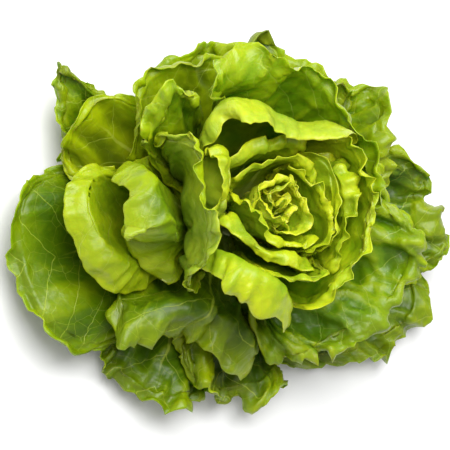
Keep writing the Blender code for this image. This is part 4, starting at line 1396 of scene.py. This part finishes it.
@dataclass(frozen=True)
class Studio:
    """Pale floor, soft light, and the camera at the photograph's angle.

    tilt: degrees that the view leans from straight down.
    lean: direction in the picture in which upright things lean, as right and up.
    distance: metres from the head to the camera.
    scale: pixels in a metre at the floor under the head.
    base: pixel of the middle of the cut stem in the picture.
    picture, sensor: pixels along a side of the picture, and width of the camera's sensor in mm.
    floor_reach: metres from the middle of the floor to its sides.
    key_power, key_size, key_place: watts, side and place in metres of the one square light.
    aim: height that the light faces, in metres.
    surround: strength of the even white light from all round.
    """

    tilt: float = 29.0
    lean: tuple = (0.985, 0.172)
    distance: float = 1.5
    scale: float = 1490.0
    base: tuple = (208.0, 221.0)
    picture: float = 450.0
    sensor: float = 36.0
    floor_reach: float = 3.0
    key_power: float = 23.2
    key_size: float = 1.0
    key_place: tuple = (-0.22, 0.42, 1.1)
    aim: float = 0.05
    surround: float = 0.48

    def axes(self) -> tuple[Vector, Vector, Vector]:
        """Turn the picture so that the axis leans the given way and is tilted from the view.

        Returns:
            The picture's right and up, and the way back to the camera.
        """
        lean = Vector((*self.lean, 0.0)).normalized()
        side = Vector((-lean.y, lean.x, 0.0))
        tilt = math.radians(self.tilt)
        upright = Vector((lean.x * math.cos(tilt), lean.y * math.cos(tilt), math.sin(tilt)))
        right = lean.x * upright - lean.y * side
        up = lean.y * upright + lean.x * side
        return right, up, right.cross(up)

    def add_camera(self) -> None:
        """The camera, aimed so that the stem's base falls on its pixel."""
        right, up, back = self.axes()
        beside, below = [(self.picture / 2 - pixel) / self.scale for pixel in self.base]
        target = right * beside - up * below
        lens = bpy.data.cameras.new("camera")
        lens.sensor_width = self.sensor
        lens.lens = self.scale * self.sensor * self.distance / self.picture
        camera = placed("camera", lens)
        turn = Matrix((right, up, back)).transposed()
        camera.matrix_world = Matrix.Translation(target + back * self.distance) @ turn.to_4x4()
        bpy.context.scene.camera = camera

    def add_light(self) -> None:
        """The soft square light that faces the head, and the even light from all round."""
        lamp = bpy.data.lights.new("key", "AREA")
        lamp.energy = self.key_power
        lamp.size = self.key_size
        light = placed("key", lamp)
        light.location = self.key_place
        facing = Vector((0.0, 0.0, self.aim)) - light.location
        light.rotation_euler = facing.to_track_quat("-Z", "Y").to_euler()
        world = bpy.data.worlds.new("studio")
        bpy.context.scene.world = world
        world.use_nodes = True
        fill(world.node_tree.nodes["Background"], {"Color": linear("#FFFFFF"), "Strength": self.surround})

    def add_floor(self) -> None:
        """The floor: white paper, dull, which throws an even pale light up under the leaves."""
        mesh = bpy.data.meshes.new("floor")
        far = self.floor_reach
        corners = [(-far, -far, 0), (far, -far, 0), (far, far, 0), (-far, far, 0)]
        mesh.from_pydata(corners, [], [(0, 1, 2, 3)])
        paper, _, shader = new_material("white_paper")
        fill(shader, {"Base Color": linear("#F6F6F6"), "Roughness": 0.9})
        mesh.materials.append(paper)
        floor = placed("floor", mesh)

    def build(self) -> None:
        """Floor, light and camera, and colours shown as they are."""
        self.add_floor()
        self.add_light()
        self.add_camera()
        bpy.context.scene.view_settings.view_transform = "Standard"
        log.info("studio ready")


def main() -> None:
    """Build the stem, the head and the studio."""
    logging.basicConfig(level=logging.INFO, format="%(name)s: %(message)s")
    STEM.build()
    Head().build()
    Studio().build()


if __name__ == "__main__":
    main()
